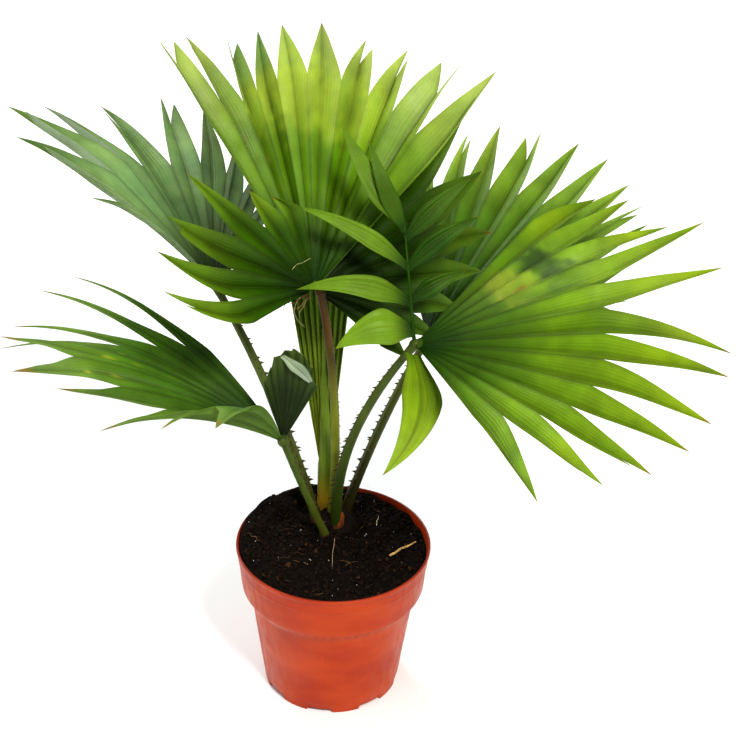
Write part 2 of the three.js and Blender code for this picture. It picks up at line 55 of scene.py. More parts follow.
# Blades: the source's rule, carried to finer rows
MARGIN = 0.42
THICKNESS = 0.5
LEAFLET = {"taper": 1.35, "narrowed": 0.4, "bend_power": 1.6, "ripple": 0.006, "twist": 10, "bulge": 0.075}
STRAY = 0.03
FORKED = 0.72
FACING = 58.7
FREE = {"rows": 40, "foot": 0.34, "peak": 0.4, "taper": 1.9, "full": 0.86, "fold": 0.2, "half_folds": 2}
FUSED_ROWS = 28
FREE_ROWS = 28
COLUMNS = (0, 0.06, 0.18, 0.34, 0.5, 0.66, 0.82, 0.93, 1)
CLOSING = (0.85, 0.6, 0.35, 0)
USUAL = {
    "tilt": FACING, "droop": 0, "start": 3.5, "pleat": 0.4, "swing": (0, 0), "narrow": 0, "forked": True,
    "whole": False, "halves": 0.03, "dryness": None, "aside": {}, "spots": [], "second_tips": {},
}


def blade_of(part, tone, count, keys, **own):
    """A blade. Each key leaflet is (turn, lean, reach, fused share), and its droop where that differs."""
    return {**USUAL, "part": part, "tone": tone, "count": count, "keys": keys, **own}


# A leaf's hub is where its stalk meets the blades. A blade's tilt is the angle from level to its plane.
# Spots and painted shadows are each (leaflet, share of its reach, size, strength, screen colour); the dark
# green ones are painted shadows.
# A free leaflet is (place on the rib, start, turn, lean, reach, width, bow, roll, light), where light is its
# share of painted light.
CENTRE_BLADES = [
    blade_of(
        "left", "leftward", 6, droop=10, swing=(37, -10),
        keys=[
            (202, 46, 150, 0.56), (180, 43.5, 155, 0.59), (159, 40.5, 161, 0.6),
            (139, 37, 165, 0.6), (123, 32, 114, 0.76), (107, 26, 98, 0.78),
        ],
    ),
    blade_of(
        "top", "bright", 10, droop=5, second_tips={0: 1, 1: -1, 2: 1, 6: 1, 7: 1, 8: -1, 9: 1},
        keys=[
            (123, 8, 240, 0.62), (110, -8, 230, 0.74), (94, -6, 225, 0.8),
            (74, -12, 225, 0.74), (50, 4, 230, 0.62),
        ],
        spots=[
            (1, 0.58, 3, 0.7, (158, 116, 44)), (2, 0.5, 3, 0.6, (170, 150, 60)),
            (4, 0.74, 34, 0.4, (190, 208, 60)), (6, 0.7, 30, 0.35, (190, 208, 60)),
            (1, 0.8, 26, 0.3, (110, 150, 80)), (2, 0.9, 26, 0.5, (112, 150, 92)),
            (3, 0.92, 22, 0.4, (120, 156, 92)),
        ],
    ),
    blade_of(
        "right", "shaded_rightward", 7, droop=8, start=8,
        keys=[(52, -21, 212, 0.66), (12, -22, 152, 0.74), (-30, -26, 98, 0.74)],
    ),
]
RIGHT_FRONT_BLADES = [
    blade_of(
        "main", "broad", 12, tilt=0, droop=12, halves=0.16,
        keys=[
            (44, 20, 228, 0.7), (16, 19, 246, 0.6), (-12, 11, 257, 0.6),
            (-40, 3, 253, 0.64), (-67, 3, 230, 0.58),
        ],
        aside={3: (2, 13, 27), 4: (3, 6, 13), 5: (0, -12, -20), 6: (-3, -6, -10), 7: (-6, -6, -12)},
        spots=[
            (1, 0.38, 15, 0.55, (168, 176, 44)), (2, 0.39, 18, 0.5, (160, 180, 40)),
            (2, 0.68, 16, 0.5, (152, 186, 36)), (3, 0.64, 18, 0.5, (150, 184, 36)),
            # The three dark green patches are painted shadows cast by the leaflets above.
            (1, 0.54, 17, 0.85, (34, 64, 2)), (2, 0.54, 15, 0.75, (40, 74, 4)),
            (3, 0.51, 11, 0.5, (52, 88, 8)), (2, 0.42, 4, 0.7, (146, 90, 32)),
        ],
    ),
]
RIGHT_FRONT_SPRAYS = [
    {"part": "lower", "tone": "lower", "leaflets": [(0, 10, -103, 34, 124, 34, -17, 0, 0)]},
    {
        "part": "wing",
        "tone": "wing",
        "rib": {"turn": 97, "lean": 22, "length": 104, "radii": (1.6, 0.6)},
        "leaflets": [
            (12, 0, 195, 16, 66, 31, 9, 0, 0.9),
            (36, 0, 176, 16, 94, 20, 10, -10, 0.8),
            (66, 0, 154, 12, 102, 15, 7, -10, 0.8),
            (100, 0, 123, 8, 94, 20, -4, 10, 0.6),
            (96, 0, 113, 14, 78, 15, -3, 10, 0.2),
            (90, 0, 43, 6, 70, 17, -4, 20, 0.1),
            (66, 0, 36, 4, 70, 18, -5, 20, 0.0),
            (38, 0, 28, 2, 50, 17, -4, 20, 0.0),
        ],
    },
]
LEFT_LOW_BLADES = [
    blade_of(
        "main", "low", 10, pleat=0.16, narrow=0.36, dryness=0.1, forked=False,
        keys=[
            (117, 54, 175, 0.76, 90), (157, 40, 194, 0.63, 50), (147.5, 22, 290, 0.81, 90),
            (142, 9, 301, 0.53, 110), (130, -4, 300, 0.38, 110),
        ],
        aside={2: (-8, 0, -5), 3: (0, 0, 18), 5: (2, 0, 2), 6: (2, 0, -10), 8: (0, 0, 11)},
        spots=[
            (4, 0.62, 4, 0.5, (196, 200, 60)), (4, 0.72, 3, 0.5, (196, 200, 60)),
            (5, 0.6, 4, 0.5, (190, 190, 50)), (5, 0.5, 3, 0.5, (190, 190, 50)),
            (6, 0.56, 3, 0.5, (196, 200, 60)),
        ],
    ),
    blade_of(
        "fold", "fold", 8, whole=True, dryness=0, pleat=0.22,
        keys=[
            (107, 33, 60, 0.975), (96, 33, 82, 0.98), (85, 31, 91, 0.985),
            (74, 29, 83, 0.98), (62, 27, 62, 0.975),
        ],
    ),
]
LEFT_LOW_SPRAYS = [
    {"part": "curl", "tone": "silver", "at": (90, 33.5), "leaflets": [(85, 0, -48, -27, 40, 12, -5, 30, 0)]},
]
LEFT_BACK_BLADES = [
    blade_of(
        "main", "bluish", 12, droop=40, pleat=0.26,
        keys=[
            (132, 46, 190, 0.6), (136, 26, 245, 0.57), (126, -20, 263, 0.52),
            (100, -30, 246, 0.58), (82, -48, 235, 0.6), (62, -56, 210, 0.58),
        ],
    ),
]
RIGHT_BACK_BLADES = [
    blade_of(
        "main", "middle", 13, droop=15, halves=0.1,
        keys=[
            (100, -38, 212, 0.6), (78, -28, 238, 0.64), (56, -20, 246, 0.66),
            (39, -13, 244, 0.66), (28, -18, 230, 0.62), (2, -34, 205, 0.58),
        ],
    ),
]


def leaf_of(name, foot, hub, bow, radii, colours, sheath, blades, **own):
    """A leaf: where its stalk stands, its two screen colours, its dry sheath's height, and its blades."""
    return {
        "name": name, "foot": foot, "hub": hub, "bow": bow, "radii": radii, "colours": colours,
        "sheath": sheath, "blades": blades, "stalk_hub": hub, "thorn_size": 1, "sprays": [],
        "window": (0.02, 0.6), **own,
    }


LEAVES = [
    leaf_of(
        "centre", (-3, 32), (-19, 5, 391), (14, 8, 0), (3.9, 3.2), ((112, 118, 26), (80, 54, 10)), 13,
        CENTRE_BLADES, stalk_hub=(-14, 5, 389), thorn_size=0.5, window=(0.45, 0.85),
    ),
    leaf_of(
        "right_front", (2.6, 22.6), (63, -10, 351), (-38, 0, 0), (4.8, 3.4), ((52, 68, 10), (68, 82, 22)), 7,
        RIGHT_FRONT_BLADES, sprays=RIGHT_FRONT_SPRAYS,
    ),
    leaf_of(
        "left_low", (-8, 13), (-43, -20, 260), (-3, 2, 3), (3.3, 2.7), ((92, 100, 30), (70, 86, 26)), 4,
        LEFT_LOW_BLADES, sprays=LEFT_LOW_SPRAYS,
    ),
    leaf_of(
        "left_back", (-15, 31), (-106, 80, 351), (12, 2, 4), (4.5, 3.2), ((66, 72, 20), (72, 84, 30)), 10,
        LEFT_BACK_BLADES,
    ),
    leaf_of(
        "right_back", (8, 42), (76, 60, 317), (-11, -3, -4), (4.5, 3.2), ((56, 52, 18), (76, 84, 24)), 9,
        RIGHT_BACK_BLADES,
    ),
]
SPEAR = {
    "foot": (-9, 45), "stalk_hub": (-9, 46, 205), "bow": (0, 0, 0), "hub": (-9, 46, 160),
    "colours": ((226, 186, 58), (126, 152, 42)),
}
SPEAR_BLADE = blade_of(
    "spear", "spear", 9, tilt=84, start=20, pleat=1.6,
    keys=[(98.6, 0, 222, 0.9), (92, 0, 240, 0.92), (85.4, 0, 226, 0.9)],
)

# Leaf colours from the hub by way of the middle to the tips, and of the underside, as screen colours. The
# dark hub colours are painted shade where the leaflets crowd together. The centre leaf's blades are lit and
# shaded copies of one green: its top blade is painted lit, and its left and right blades are darker as
# painted shade. The folded piece of the low left leaf is darkened as painted shade, and the pale middle of
# the bluish back leaf is partly a painted silvery sheen.
TONES = {
    "bright": ((34, 74, 2), (112, 152, 16), (172, 190, 92), (150, 184, 66)),
    "leftward": ((28, 58, 0), (60, 96, 2), (124, 156, 34), (96, 130, 44)),
    "shaded_rightward": ((18, 44, 0), (48, 80, 2), (92, 122, 22), (90, 120, 40)),
    "lower": ((56, 96, 4), (130, 160, 24), (154, 182, 44), (128, 166, 60)),
    "broad": ((34, 76, 0), (104, 140, 6), (128, 154, 18), (120, 154, 46)),
    "low": ((22, 52, 2), (82, 124, 16), (112, 142, 54), (106, 136, 56)),
    "bluish": ((22, 48, 6), (136, 168, 104), (84, 112, 46), (158, 180, 138)),
    "fold": ((24, 42, 12), (48, 66, 26), (70, 90, 40), (150, 164, 130)),
    "middle": ((26, 58, 0), (78, 116, 18), (138, 166, 54), (124, 156, 70)),
    "spear": ((226, 214, 66), (170, 192, 76), (132, 160, 56), (130, 160, 64)),
    "wing": ((24, 56, 2), (44, 82, 4), (80, 118, 18), (96, 130, 44)),
    "silver": ((150, 170, 136), (176, 192, 160), (190, 204, 176), (176, 190, 160)),
}
LIT = (140, 176, 36)
DRY = (158, 112, 40)
RIB_PALE = (184, 200, 78)


# Numbers and colours


def from_screen(colour):
    """A screen colour of 0 to 255 as linear light."""
    share = np.asarray(colour, dtype=float) / 255
    return np.where(share <= 0.04045, share / 12.92, ((share + 0.055) / 1.055) ** 2.4)


def part_way(first, second, share):
    return first + (second - first) * share


def chance(index, salt):
    """The source's even-spread value between -1 and 1 for the same index and salt."""
    wave = math.sin(index * 12.9898 + salt * 78.233) * 43758.5453
    return 2 * (wave - math.floor(wave)) - 1


def unit(vectors):
    return vectors / np.linalg.norm(vectors, axis=-1, keepdims=True)


def smooth_step(low, high, values):
    share = np.clip((values - low) / (high - low), 0, 1)
    return share * share * (3 - 2 * share)


def ring_angles(sides):
    return np.arange(sides) * 2 * math.pi / sides


def turn_from(middle, angle):
    """The turn from a middle to each angle, between minus and plus half a turn."""
    return (angle - middle + math.pi) % (2 * math.pi) - math.pi


def rough(points, scale, seed):
    """Smooth even noise between -1 and 1 over points of two or three coordinates."""
    table = np.random.default_rng(seed).uniform(-1, 1, 4096)
    place = np.asarray(points, dtype=float) / scale
    cell = np.floor(place).astype(np.int64)
    part = place - cell
    part = part * part * (3 - 2 * part)
    primes = np.array([73856093, 19349663, 83492791])[: place.shape[-1]]
    total = np.zeros(place.shape[:-1])
    for corner in itertools.product((0, 1), repeat=place.shape[-1]):
        key = np.bitwise_xor.reduce((cell + corner) * primes, axis=-1) & 4095
        total += np.prod(np.where(np.array(corner) == 1, part, 1 - part), axis=-1) * table[key]
    return total


def rough_ring(angle, radius, scale, seed):
    """Noise round a circle, which ends as it starts."""
    return rough(np.stack([radius * np.cos(angle), radius * np.sin(angle)], axis=1), scale, seed)


# Meshes


class Pile:
    """Collects points and faces for one joined mesh, each point with a tint and a pair of pattern places."""

    def __init__(self):
        self.points, self.tints, self.places, self.faces = [], [], [], []
        self.count = 0

    def add(self, points, faces, tints, places=None):
        points = np.asarray(points, dtype=float).reshape(-1, 3)
        faces = np.asarray(faces, dtype=np.int64)
        if faces.shape[1] == 3:
            faces = np.concatenate([faces, faces[:, 2:]], axis=1)
        if places is None:
            places = np.zeros((len(points), 2))
        self.points.append(points)
        self.tints.append(np.broadcast_to(np.asarray(tints, dtype=float).reshape(-1, 3), (len(points), 3)))
        self.places.append(np.asarray(places, dtype=float).reshape(-1, 2))
        self.faces.append(faces + self.count)
        self.count += len(points)

    def build(self, name, material, weld=False, crease=None):
        """Makes the mesh: equal points are joined where asked, and faces that close up are dropped."""
        lists = (self.points, self.tints, self.places, self.faces)
        points, tints, places, faces = (np.concatenate(rows) for rows in lists)
        places = places[faces]
        if weld:
            keys = np.round(points * WELD_STEPS_PER_MM).astype(np.int64)
            _, first, back = np.unique(keys, axis=0, return_index=True, return_inverse=True)
            faces = back.reshape(-1)[faces]
            points, tints = points[first], tints[first]
        same = faces == np.roll(faces, -1, axis=1)
        merged = same.sum(axis=1)
        diagonal = (faces[:, 0] == faces[:, 2]) | (faces[:, 1] == faces[:, 3])
        order = np.concatenate([np.flatnonzero((merged == count) & ~diagonal) for count in (0, 1)])
        keep = ~same[order]
        corners, places = faces[order][keep], places[order][keep]
        sizes = keep.sum(axis=1)
        mesh = bpy.data.meshes.new(name)
        mesh.vertices.add(len(points))
        mesh.vertices.foreach_set("co", (points * MM).reshape(-1))
        mesh.loops.add(len(corners))
        mesh.loops.foreach_set("vertex_index", corners.astype(np.int32))
        mesh.polygons.add(len(sizes))
        mesh.polygons.foreach_set("loop_start", (np.cumsum(sizes) - sizes).astype(np.int32))
        mesh.polygons.foreach_set("use_smooth", np.ones(len(sizes), dtype=bool))
        tint = mesh.color_attributes.new("tint", "FLOAT_COLOR", "POINT")
        tint.data.foreach_set("color", np.insert(tints, 3, 1, axis=1).reshape(-1))
        mesh.uv_layers.new(name="pattern").data.foreach_set("uv", places.reshape(-1))
        mesh.update(calc_edges=True)
        mesh.validate()
        if crease is not None:
            mesh.set_sharp_from_angle(angle=math.radians(crease))
        mesh.materials.append(material)
        piece = bpy.data.objects.new(name, mesh)
        bpy.context.scene.collection.objects.link(piece)
        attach(piece, "root")
        return piece


def grid_faces(rows, columns, closed=False, first=0):
    """Faces of a grid of points, whose columns close up into a ring where asked."""
    wide = columns if closed else columns - 1
    row, column = np.meshgrid(np.arange(rows - 1), np.arange(wide), indexing="ij")
    here, right = row * columns + column, row * columns + (column + 1) % columns
    return np.stack([here, right, right + columns, here + columns], axis=-1).reshape(-1, 4) + first


def end_faces(point, ring, ahead):
    """A fan from one point to a ring of points, and the ring that is one step ahead of it."""
    return np.stack([np.full(len(ring), point), ring, ahead, ahead], axis=1)


def capped_faces(rows, sides):
    """Faces of rings one above another, with a fan at each end to the two points that follow the rings."""
    ring = np.arange(sides)
    ahead = (ring + 1) % sides
    count, last = rows * sides, (rows - 1) * sides
    caps = [end_faces(count, ahead, ring), end_faces(count + 1, last + ring, last + ahead)]
    return np.concatenate([grid_faces(rows, sides, closed=True), *caps])


def add_sheet(pile, surface, ups, close, rib, tint, below, places, walls):
    """A thin sheet with a midrib on its underside. A wall is (column, first row, whether it faces left)."""
    top = surface + ups * (THICKNESS / 2 * close)[..., None]
    under = surface - ups * ((THICKNESS / 2 + rib) * close)[..., None]
    rows, wide = top.shape[:2]
    total = rows * wide
    faces = [grid_faces(rows, wide), grid_faces(rows, wide, first=total)[:, ::-1]]
    for column, first_row, left in walls:
        a = np.arange(first_row, rows - 1) * wide + column
        b = a + wide
        faces.append(np.stack([a + total, a, b, b + total] if left else [a, a + total, b + total, b], axis=1))
    column = np.arange(wide - 1)
    faces.append(np.stack([column, column + total, column + total + 1, column + 1], axis=1))
    pairs = (top, under), faces, (tint, below), (places, places)
    pile.add(*(np.concatenate(pair) for pair in pairs))


def sweep_frames(path, hint):
    """A steady pair of cross directions along a path, of which the first starts towards the hint."""
    tangents = unit(np.gradient(path, axis=0))
    across = []
    normal = np.asarray(hint, dtype=float)
    for tangent in tangents:
        normal = normal - tangent * normal.dot(tangent)
        normal = normal / np.linalg.norm(normal)
        across.append(normal)
    across = np.array(across)
    return tangents, across, np.cross(tangents, across)


def tube(path, radii, sides, hint=(0.3, 1, 0.2), shape=None):
    """A closed tube along a path. The shape scales the radius by the angle from the hint and the row."""
    path = np.asarray(path, dtype=float)
    _, across, beside = sweep_frames(path, hint)
    angle = ring_angles(sides)
    reach = np.asarray(radii, dtype=float)[:, None] * np.ones(sides)
    if shape is not None:
        reach = reach * shape(angle[None, :], np.linspace(0, 1, len(path))[:, None])
    ring = path[:, None] + across[:, None] * (reach * np.cos(angle))[..., None]
    ring = ring + beside[:, None] * (reach * np.sin(angle))[..., None]
    return np.concatenate([ring.reshape(-1, 3), path[:1], path[-1:]]), capped_faces(len(path), sides)


def add_fibre(pile, start, end, sag, steps, seed, stray, radii, sides, tint):
    """A bent fibre from start to end, thinner towards its end."""
    t = np.linspace(0, 1, steps)[:, None]
    path = (1 - t) * np.asarray(start, dtype=float) + t * np.asarray(end, dtype=float)
    path = path + 4 * t * (1 - t) * np.asarray(sag, dtype=float)
    noise = np.stack([rough(t * 5 + 7 * k, 1, seed + k) for k in range(3)], axis=1)
    path = path + stray * noise * np.sin(math.pi * t)
    pile.add(*tube(path, radii, sides), tint)


def lathe_points(profile, sides):
    angle = ring_angles(sides)
    profile = np.asarray(profile, dtype=float)
    radius, height = profile[:, :1], profile[:, 1:]
    return np.stack([radius * np.cos(angle), radius * np.sin(angle), height * np.ones(sides)], axis=-1)


# Materials


def new_material(name, roughness, specular):
    look = bpy.data.materials.new(name)
    look.use_nodes = True
    shader = look.node_tree.nodes["Principled BSDF"]
    shader.inputs["Roughness"].default_value = roughness
    shader.inputs["Specular IOR Level"].default_value = specular
    return look, shader


def join(look, value, socket):
    """Sets a socket to a plain value, or links it to another node's output."""
    if isinstance(value, bpy.types.NodeSocket):
        look.node_tree.links.new(value, socket)
    else:
        socket.default_value = value


def add_node(look, kind, inputs=(), **settings):
    """Adds a node with its settings and inputs, and gives its outputs."""
    node = look.node_tree.nodes.new(f"ShaderNode{kind}")
    for key, value in settings.items():
        setattr(node, key, value)
    for key, value in dict(inputs).items():
        join(look, value, node.inputs[key])
    return node.outputs


def maths(look, operation, *values):
    return add_node(look, "Math", enumerate(values), operation=operation)[0]


def mapped(look, value, low, high, start=0.0, end=1.0, kind="SMOOTHSTEP"):
    inputs = {"Value": value, "From Min": low, "From Max": high, "To Min": start, "To Max": end}
    return add_node(look, "MapRange", inputs, interpolation_type=kind)["Result"]


def mixed(look, factor, first, second, blend="MIX"):
    """Two colours mixed: a mix node takes them as inputs 6 and 7, and its output 2 is the colour."""
    inputs = {0: factor, 6: first, 7: second}
    return add_node(look, "Mix", inputs, data_type="RGBA", blend_type=blend)[2]


def noise_of(look, scale, detail, stretch=(1, 1, 1)):
    """Noise over the object's own coordinates, in metres."""
    place = add_node(look, "Mapping", {"Vector": add_node(look, "TexCoord")["Object"], "Scale": stretch})
    return add_node(look, "TexNoise", {"Vector": place[0], "Scale": scale, "Detail": detail})["Fac"]


def bumped(look, shader, height, distance, strength):
    normal = add_node(look, "Bump", {"Distance": distance, "Strength": strength, "Height": height})[0]
    join(look, normal, shader.inputs["Normal"])
    return normal


def tint_of(look):
    return add_node(look, "Attribute", attribute_name="tint")["Color"]


def shaded(look, colour, shade):
    """A colour made lighter or darker by a number."""
    grey = add_node(look, "CombineColor", enumerate([shade] * 3))[0]
    return mixed(look, 1.0, colour, grey, "MULTIPLY")


def screen_tuple(colour):
    return (*map(float, from_screen(colour)), 1)


def leaf_material():
    """A leaf: fine veins along each leaflet, a pale midrib, soft gloss and some light coming through."""
    look, shader = new_material("leaf", 0.45, 0.26)
    place = add_node(look, "UVMap", uv_map="pattern")[0]
    place = add_node(look, "SeparateXYZ", {0: place})["X"]
    across = maths(look, "MULTIPLY", maths(look, "ABSOLUTE", maths(look, "SUBTRACT", place, 0.5)), 2.0)
    veins = []
    for count, weight in ((6, 0.65), (19, 0.35)):
        wave = maths(look, "SINE", maths(look, "MULTIPLY", across, 2 * math.pi * count))
        veins.append(maths(look, "MULTIPLY", mapped(look, wave, -1, 1), weight))
    lines = maths(look, "ADD", *veins)
    shade = mapped(look, lines, 0, 1, 0.95, 1.04, kind="LINEAR")
    patches = mapped(look, noise_of(look, 34, 4), 0.3, 0.7, 0.84, 1.12)
    colour = shaded(look, tint_of(look), maths(look, "MULTIPLY", shade, patches))
    rib = mapped(look, across, 0.015, 0.07, 0.1, 0.0)
    margin = mapped(look, across, 0.955, 0.995, 0.0, 0.08)
    colour = mixed(look, maths(look, "MAXIMUM", rib, margin), colour, screen_tuple(RIB_PALE))
    join(look, colour, shader.inputs["Base Color"])
    height = maths(look, "ADD", lines, mapped(look, across, 0.0, 0.1, 1.0, 0.0))
    normal = bumped(look, shader, height, 0.00025, 0.6)
    gloss = mapped(look, noise_of(look, 60, 2), 0.3, 0.7, 0.36, 0.52)
    join(look, gloss, shader.inputs["Roughness"])
    lit = mixed(look, 1.0, colour, (1.0, 0.98, 0.5, 1), "MULTIPLY")
    through = add_node(look, "BsdfTranslucent", {"Color": lit, "Normal": normal})[0]
    blend = add_node(look, "MixShader", enumerate((0.3, shader.outputs[0], through)))[0]
    join(look, blend, look.node_tree.nodes["Material Output"].inputs["Surface"])
    return look


def grained_material(name, roughness, specular, grain, detail, shades, depth, strength, stretch=(1, 1, 1)):
    """A tinted surface with lighter and darker grain, raised a little."""
    look, shader = new_material(name, roughness, specular)
    streaks = noise_of(look, grain, detail, stretch)
    colour = shaded(look, tint_of(look), mapped(look, streaks, 0.3, 0.7, *shades))
    join(look, colour, shader.inputs["Base Color"])
    bumped(look, shader, streaks, depth, strength)
    return look


def pot_material():
    """Thin moulded plastic: even colour with faint cloudy streaks, light scuffs and a soft sheen."""
    look, shader = new_material("pot plastic", 0.42, 0.26)
    clouds = noise_of(look, 16, 3, (1, 1, 2.2))
    scuffs = noise_of(look, 150, 4, (1, 1, 0.35))
    deep, plain, pale = (screen_tuple(c) for c in ((160, 47, 9), (180, 66, 16), (200, 92, 44)))
    base = mixed(look, mapped(look, clouds, 0.3, 0.7), deep, plain)
    base = mixed(look, mapped(look, scuffs, 0.6, 0.8, 0.0, 0.22), base, pale)
    join(look, mixed(look, 1.0, base, tint_of(look), "MULTIPLY"), shader.inputs["Base Color"])
    join(look, mapped(look, scuffs, 0.35, 0.75, 0.36, 0.55), shader.inputs["Roughness"])
    bumped(look, shader, clouds, 0.002, 0.25)
    shader.inputs["Subsurface Weight"].default_value = 0.08
    shader.inputs["Subsurface Radius"].default_value = (0.006, 0.002, 0.001)
    return look


STALK_GRAIN = {"grain": 90, "detail": 3, "shades": (0.8, 1.15), "depth": 0.0006, "strength": 0.5}
SHEATH_GRAIN = {"grain": 260, "detail": 4, "shades": (0.6, 1.25), "depth": 0.001, "strength": 0.8}
COMPOST_GRAIN = {"grain": 420, "detail": 5, "shades": (0.6, 1.4), "depth": 0.0012, "strength": 0.8}
LEAF = leaf_material()
STALK_LOOK = grained_material("stalk", 0.5, 0.22, stretch=(1, 1, 0.08), **STALK_GRAIN)
SHEATH_LOOK = grained_material("sheath", 0.8, 0.15, stretch=(1, 1, 0.06), **SHEATH_GRAIN)
COMPOST_LOOK = grained_material("compost", 0.95, 0.12, **COMPOST_GRAIN)
POT_LOOK = pot_material()


# Blades


def direction(turn, lean, tilt=FACING):
    """The direction of a leaflet in a plane that is tipped up at its back by the tilt."""
    a, b, c = (math.radians(angle) for angle in (turn, lean, tilt))
    x, y, z = math.cos(b) * math.cos(a), math.cos(b) * math.sin(a), math.sin(b)
    return np.array([x, y * math.cos(c) - z * math.sin(c), y * math.sin(c) + z * math.cos(c)])


def smooth_row(rows, u):
    """A smooth curve through evenly spaced rows of numbers, at the share u of its length."""
    last = len(rows) - 1
    place = u * last
    i = min(int(place), last - 1)
    f = place - i
    b, c = rows[i], rows[i + 1]
    a = rows[i - 1] if i > 0 else 2 * b - c
    d = rows[i + 2] if i + 2 <= last else 2 * c - b
    return 0.5 * (2 * b + (c - a) * f + (2 * a - 5 * b + 4 * c - d) * f**2 + (3 * b - a - 3 * c + d) * f**3)


def fan_of(blade):
    """The leaflets of a blade and the edges between them: directions, reaches and sinuses."""
    rows = [np.array([*direction(k[0], k[1], blade["tilt"]), *k[2:]]) for k in blade["keys"]]
    last = blade["count"] - 1
    leaflets = []
    for i in range(blade["count"]):
        values = [*smooth_row(rows, i / last), blade["droop"]]
        way = unit(np.array(values[:3]))
        leaflets.append({"way": way, "reach": values[3], "share": values[4], "droop": values[5]})
    for i, leaflet in enumerate(leaflets):
        across = leaflets[min(i + 1, last)]["way"] - leaflets[max(i - 1, 0)]["way"]
        leaflet["up"] = unit(np.cross(across, leaflet["way"]))
        leaflet["side"] = unit(np.cross(leaflet["way"], leaflet["up"]))

    def edge_of(first, second, share):
        keys = ("way", "up", "reach", "droop", "share")
        line = {key: part_way(first[key], second[key], share) for key in keys}
        shortest = line["reach"] if blade["whole"] else min(first["reach"], second["reach"])
        line["way"], line["up"] = unit(line["way"]), unit(line["up"])
        line["fused"] = line["share"] * shortest
        line["width"] = math.acos(float(np.clip(first["way"].dot(second["way"]), -1, 1)))
        return line

    edges = [edge_of(leaflets[0], leaflets[1], -MARGIN)]
    edges += [edge_of(leaflets[j - 1], leaflets[j], 0.5) for j in range(1, last + 1)]
    edges.append(edge_of(leaflets[last], leaflets[last - 1], -MARGIN))
    return leaflets, edges


def turned_about(vectors, axis, angles):
    """Vectors turned about an axis, each by its own angle."""
    angles = np.asarray(angles)[:, None]
    along = axis * ((vectors @ axis)[:, None] * (1 - np.cos(angles)))
    return vectors * np.cos(angles) + np.cross(axis, vectors) * np.sin(angles) + along


def leaf_tint(tone, share, spread, points, salt, dryness):
    """The colour along a leaflet: from the hub's to the tip's, uneven, and dry at some tips, with painted
    light and shade across its pleats.
    """
    hub, middle, tip = (from_screen(c) for c in tone[:3])
    second = smooth_step(0.45, 1.0, share)
    colour = part_way(hub, middle, smooth_step(0.02, 0.5, share)[..., None])
    colour = part_way(colour, tip, second[..., None])
    warm = rough(points, 34, 11 + salt)[..., None]
    colour = colour * (1 + 0.16 * warm * np.array([1.7, 1.0, 0.4]))
    # Painted light across the pleats: lighter towards the leaflet's edges, darker towards its midrib.
    colour = colour * (1 + 0.16 * (spread - 0.5) * smooth_step(0.02, 0.2, share))[..., None]
    colour = colour * (1 + 0.1 * rough(points, 9, 23 + salt))[..., None]
    # Painted shade in the creases: darker along the midrib, and along the fused edges nearer the hub.
    crease_shade = 0.36 * (1 - smooth_step(0, 0.2, spread)) * (1 - 0.2 * second)
    crease_shade = crease_shade + 0.42 * smooth_step(0.74, 1, spread) * (1 - second)
    colour = colour * (1 - crease_shade[..., None])
    dry = smooth_step(1 - dryness, 1 - dryness * 0.35, share)[..., None] if dryness > 0 else 0
    return part_way(colour, from_screen(DRY), dry * 0.85)


def sag(line, r):
    return -line["droop"] * (r / line["reach"]) ** 2


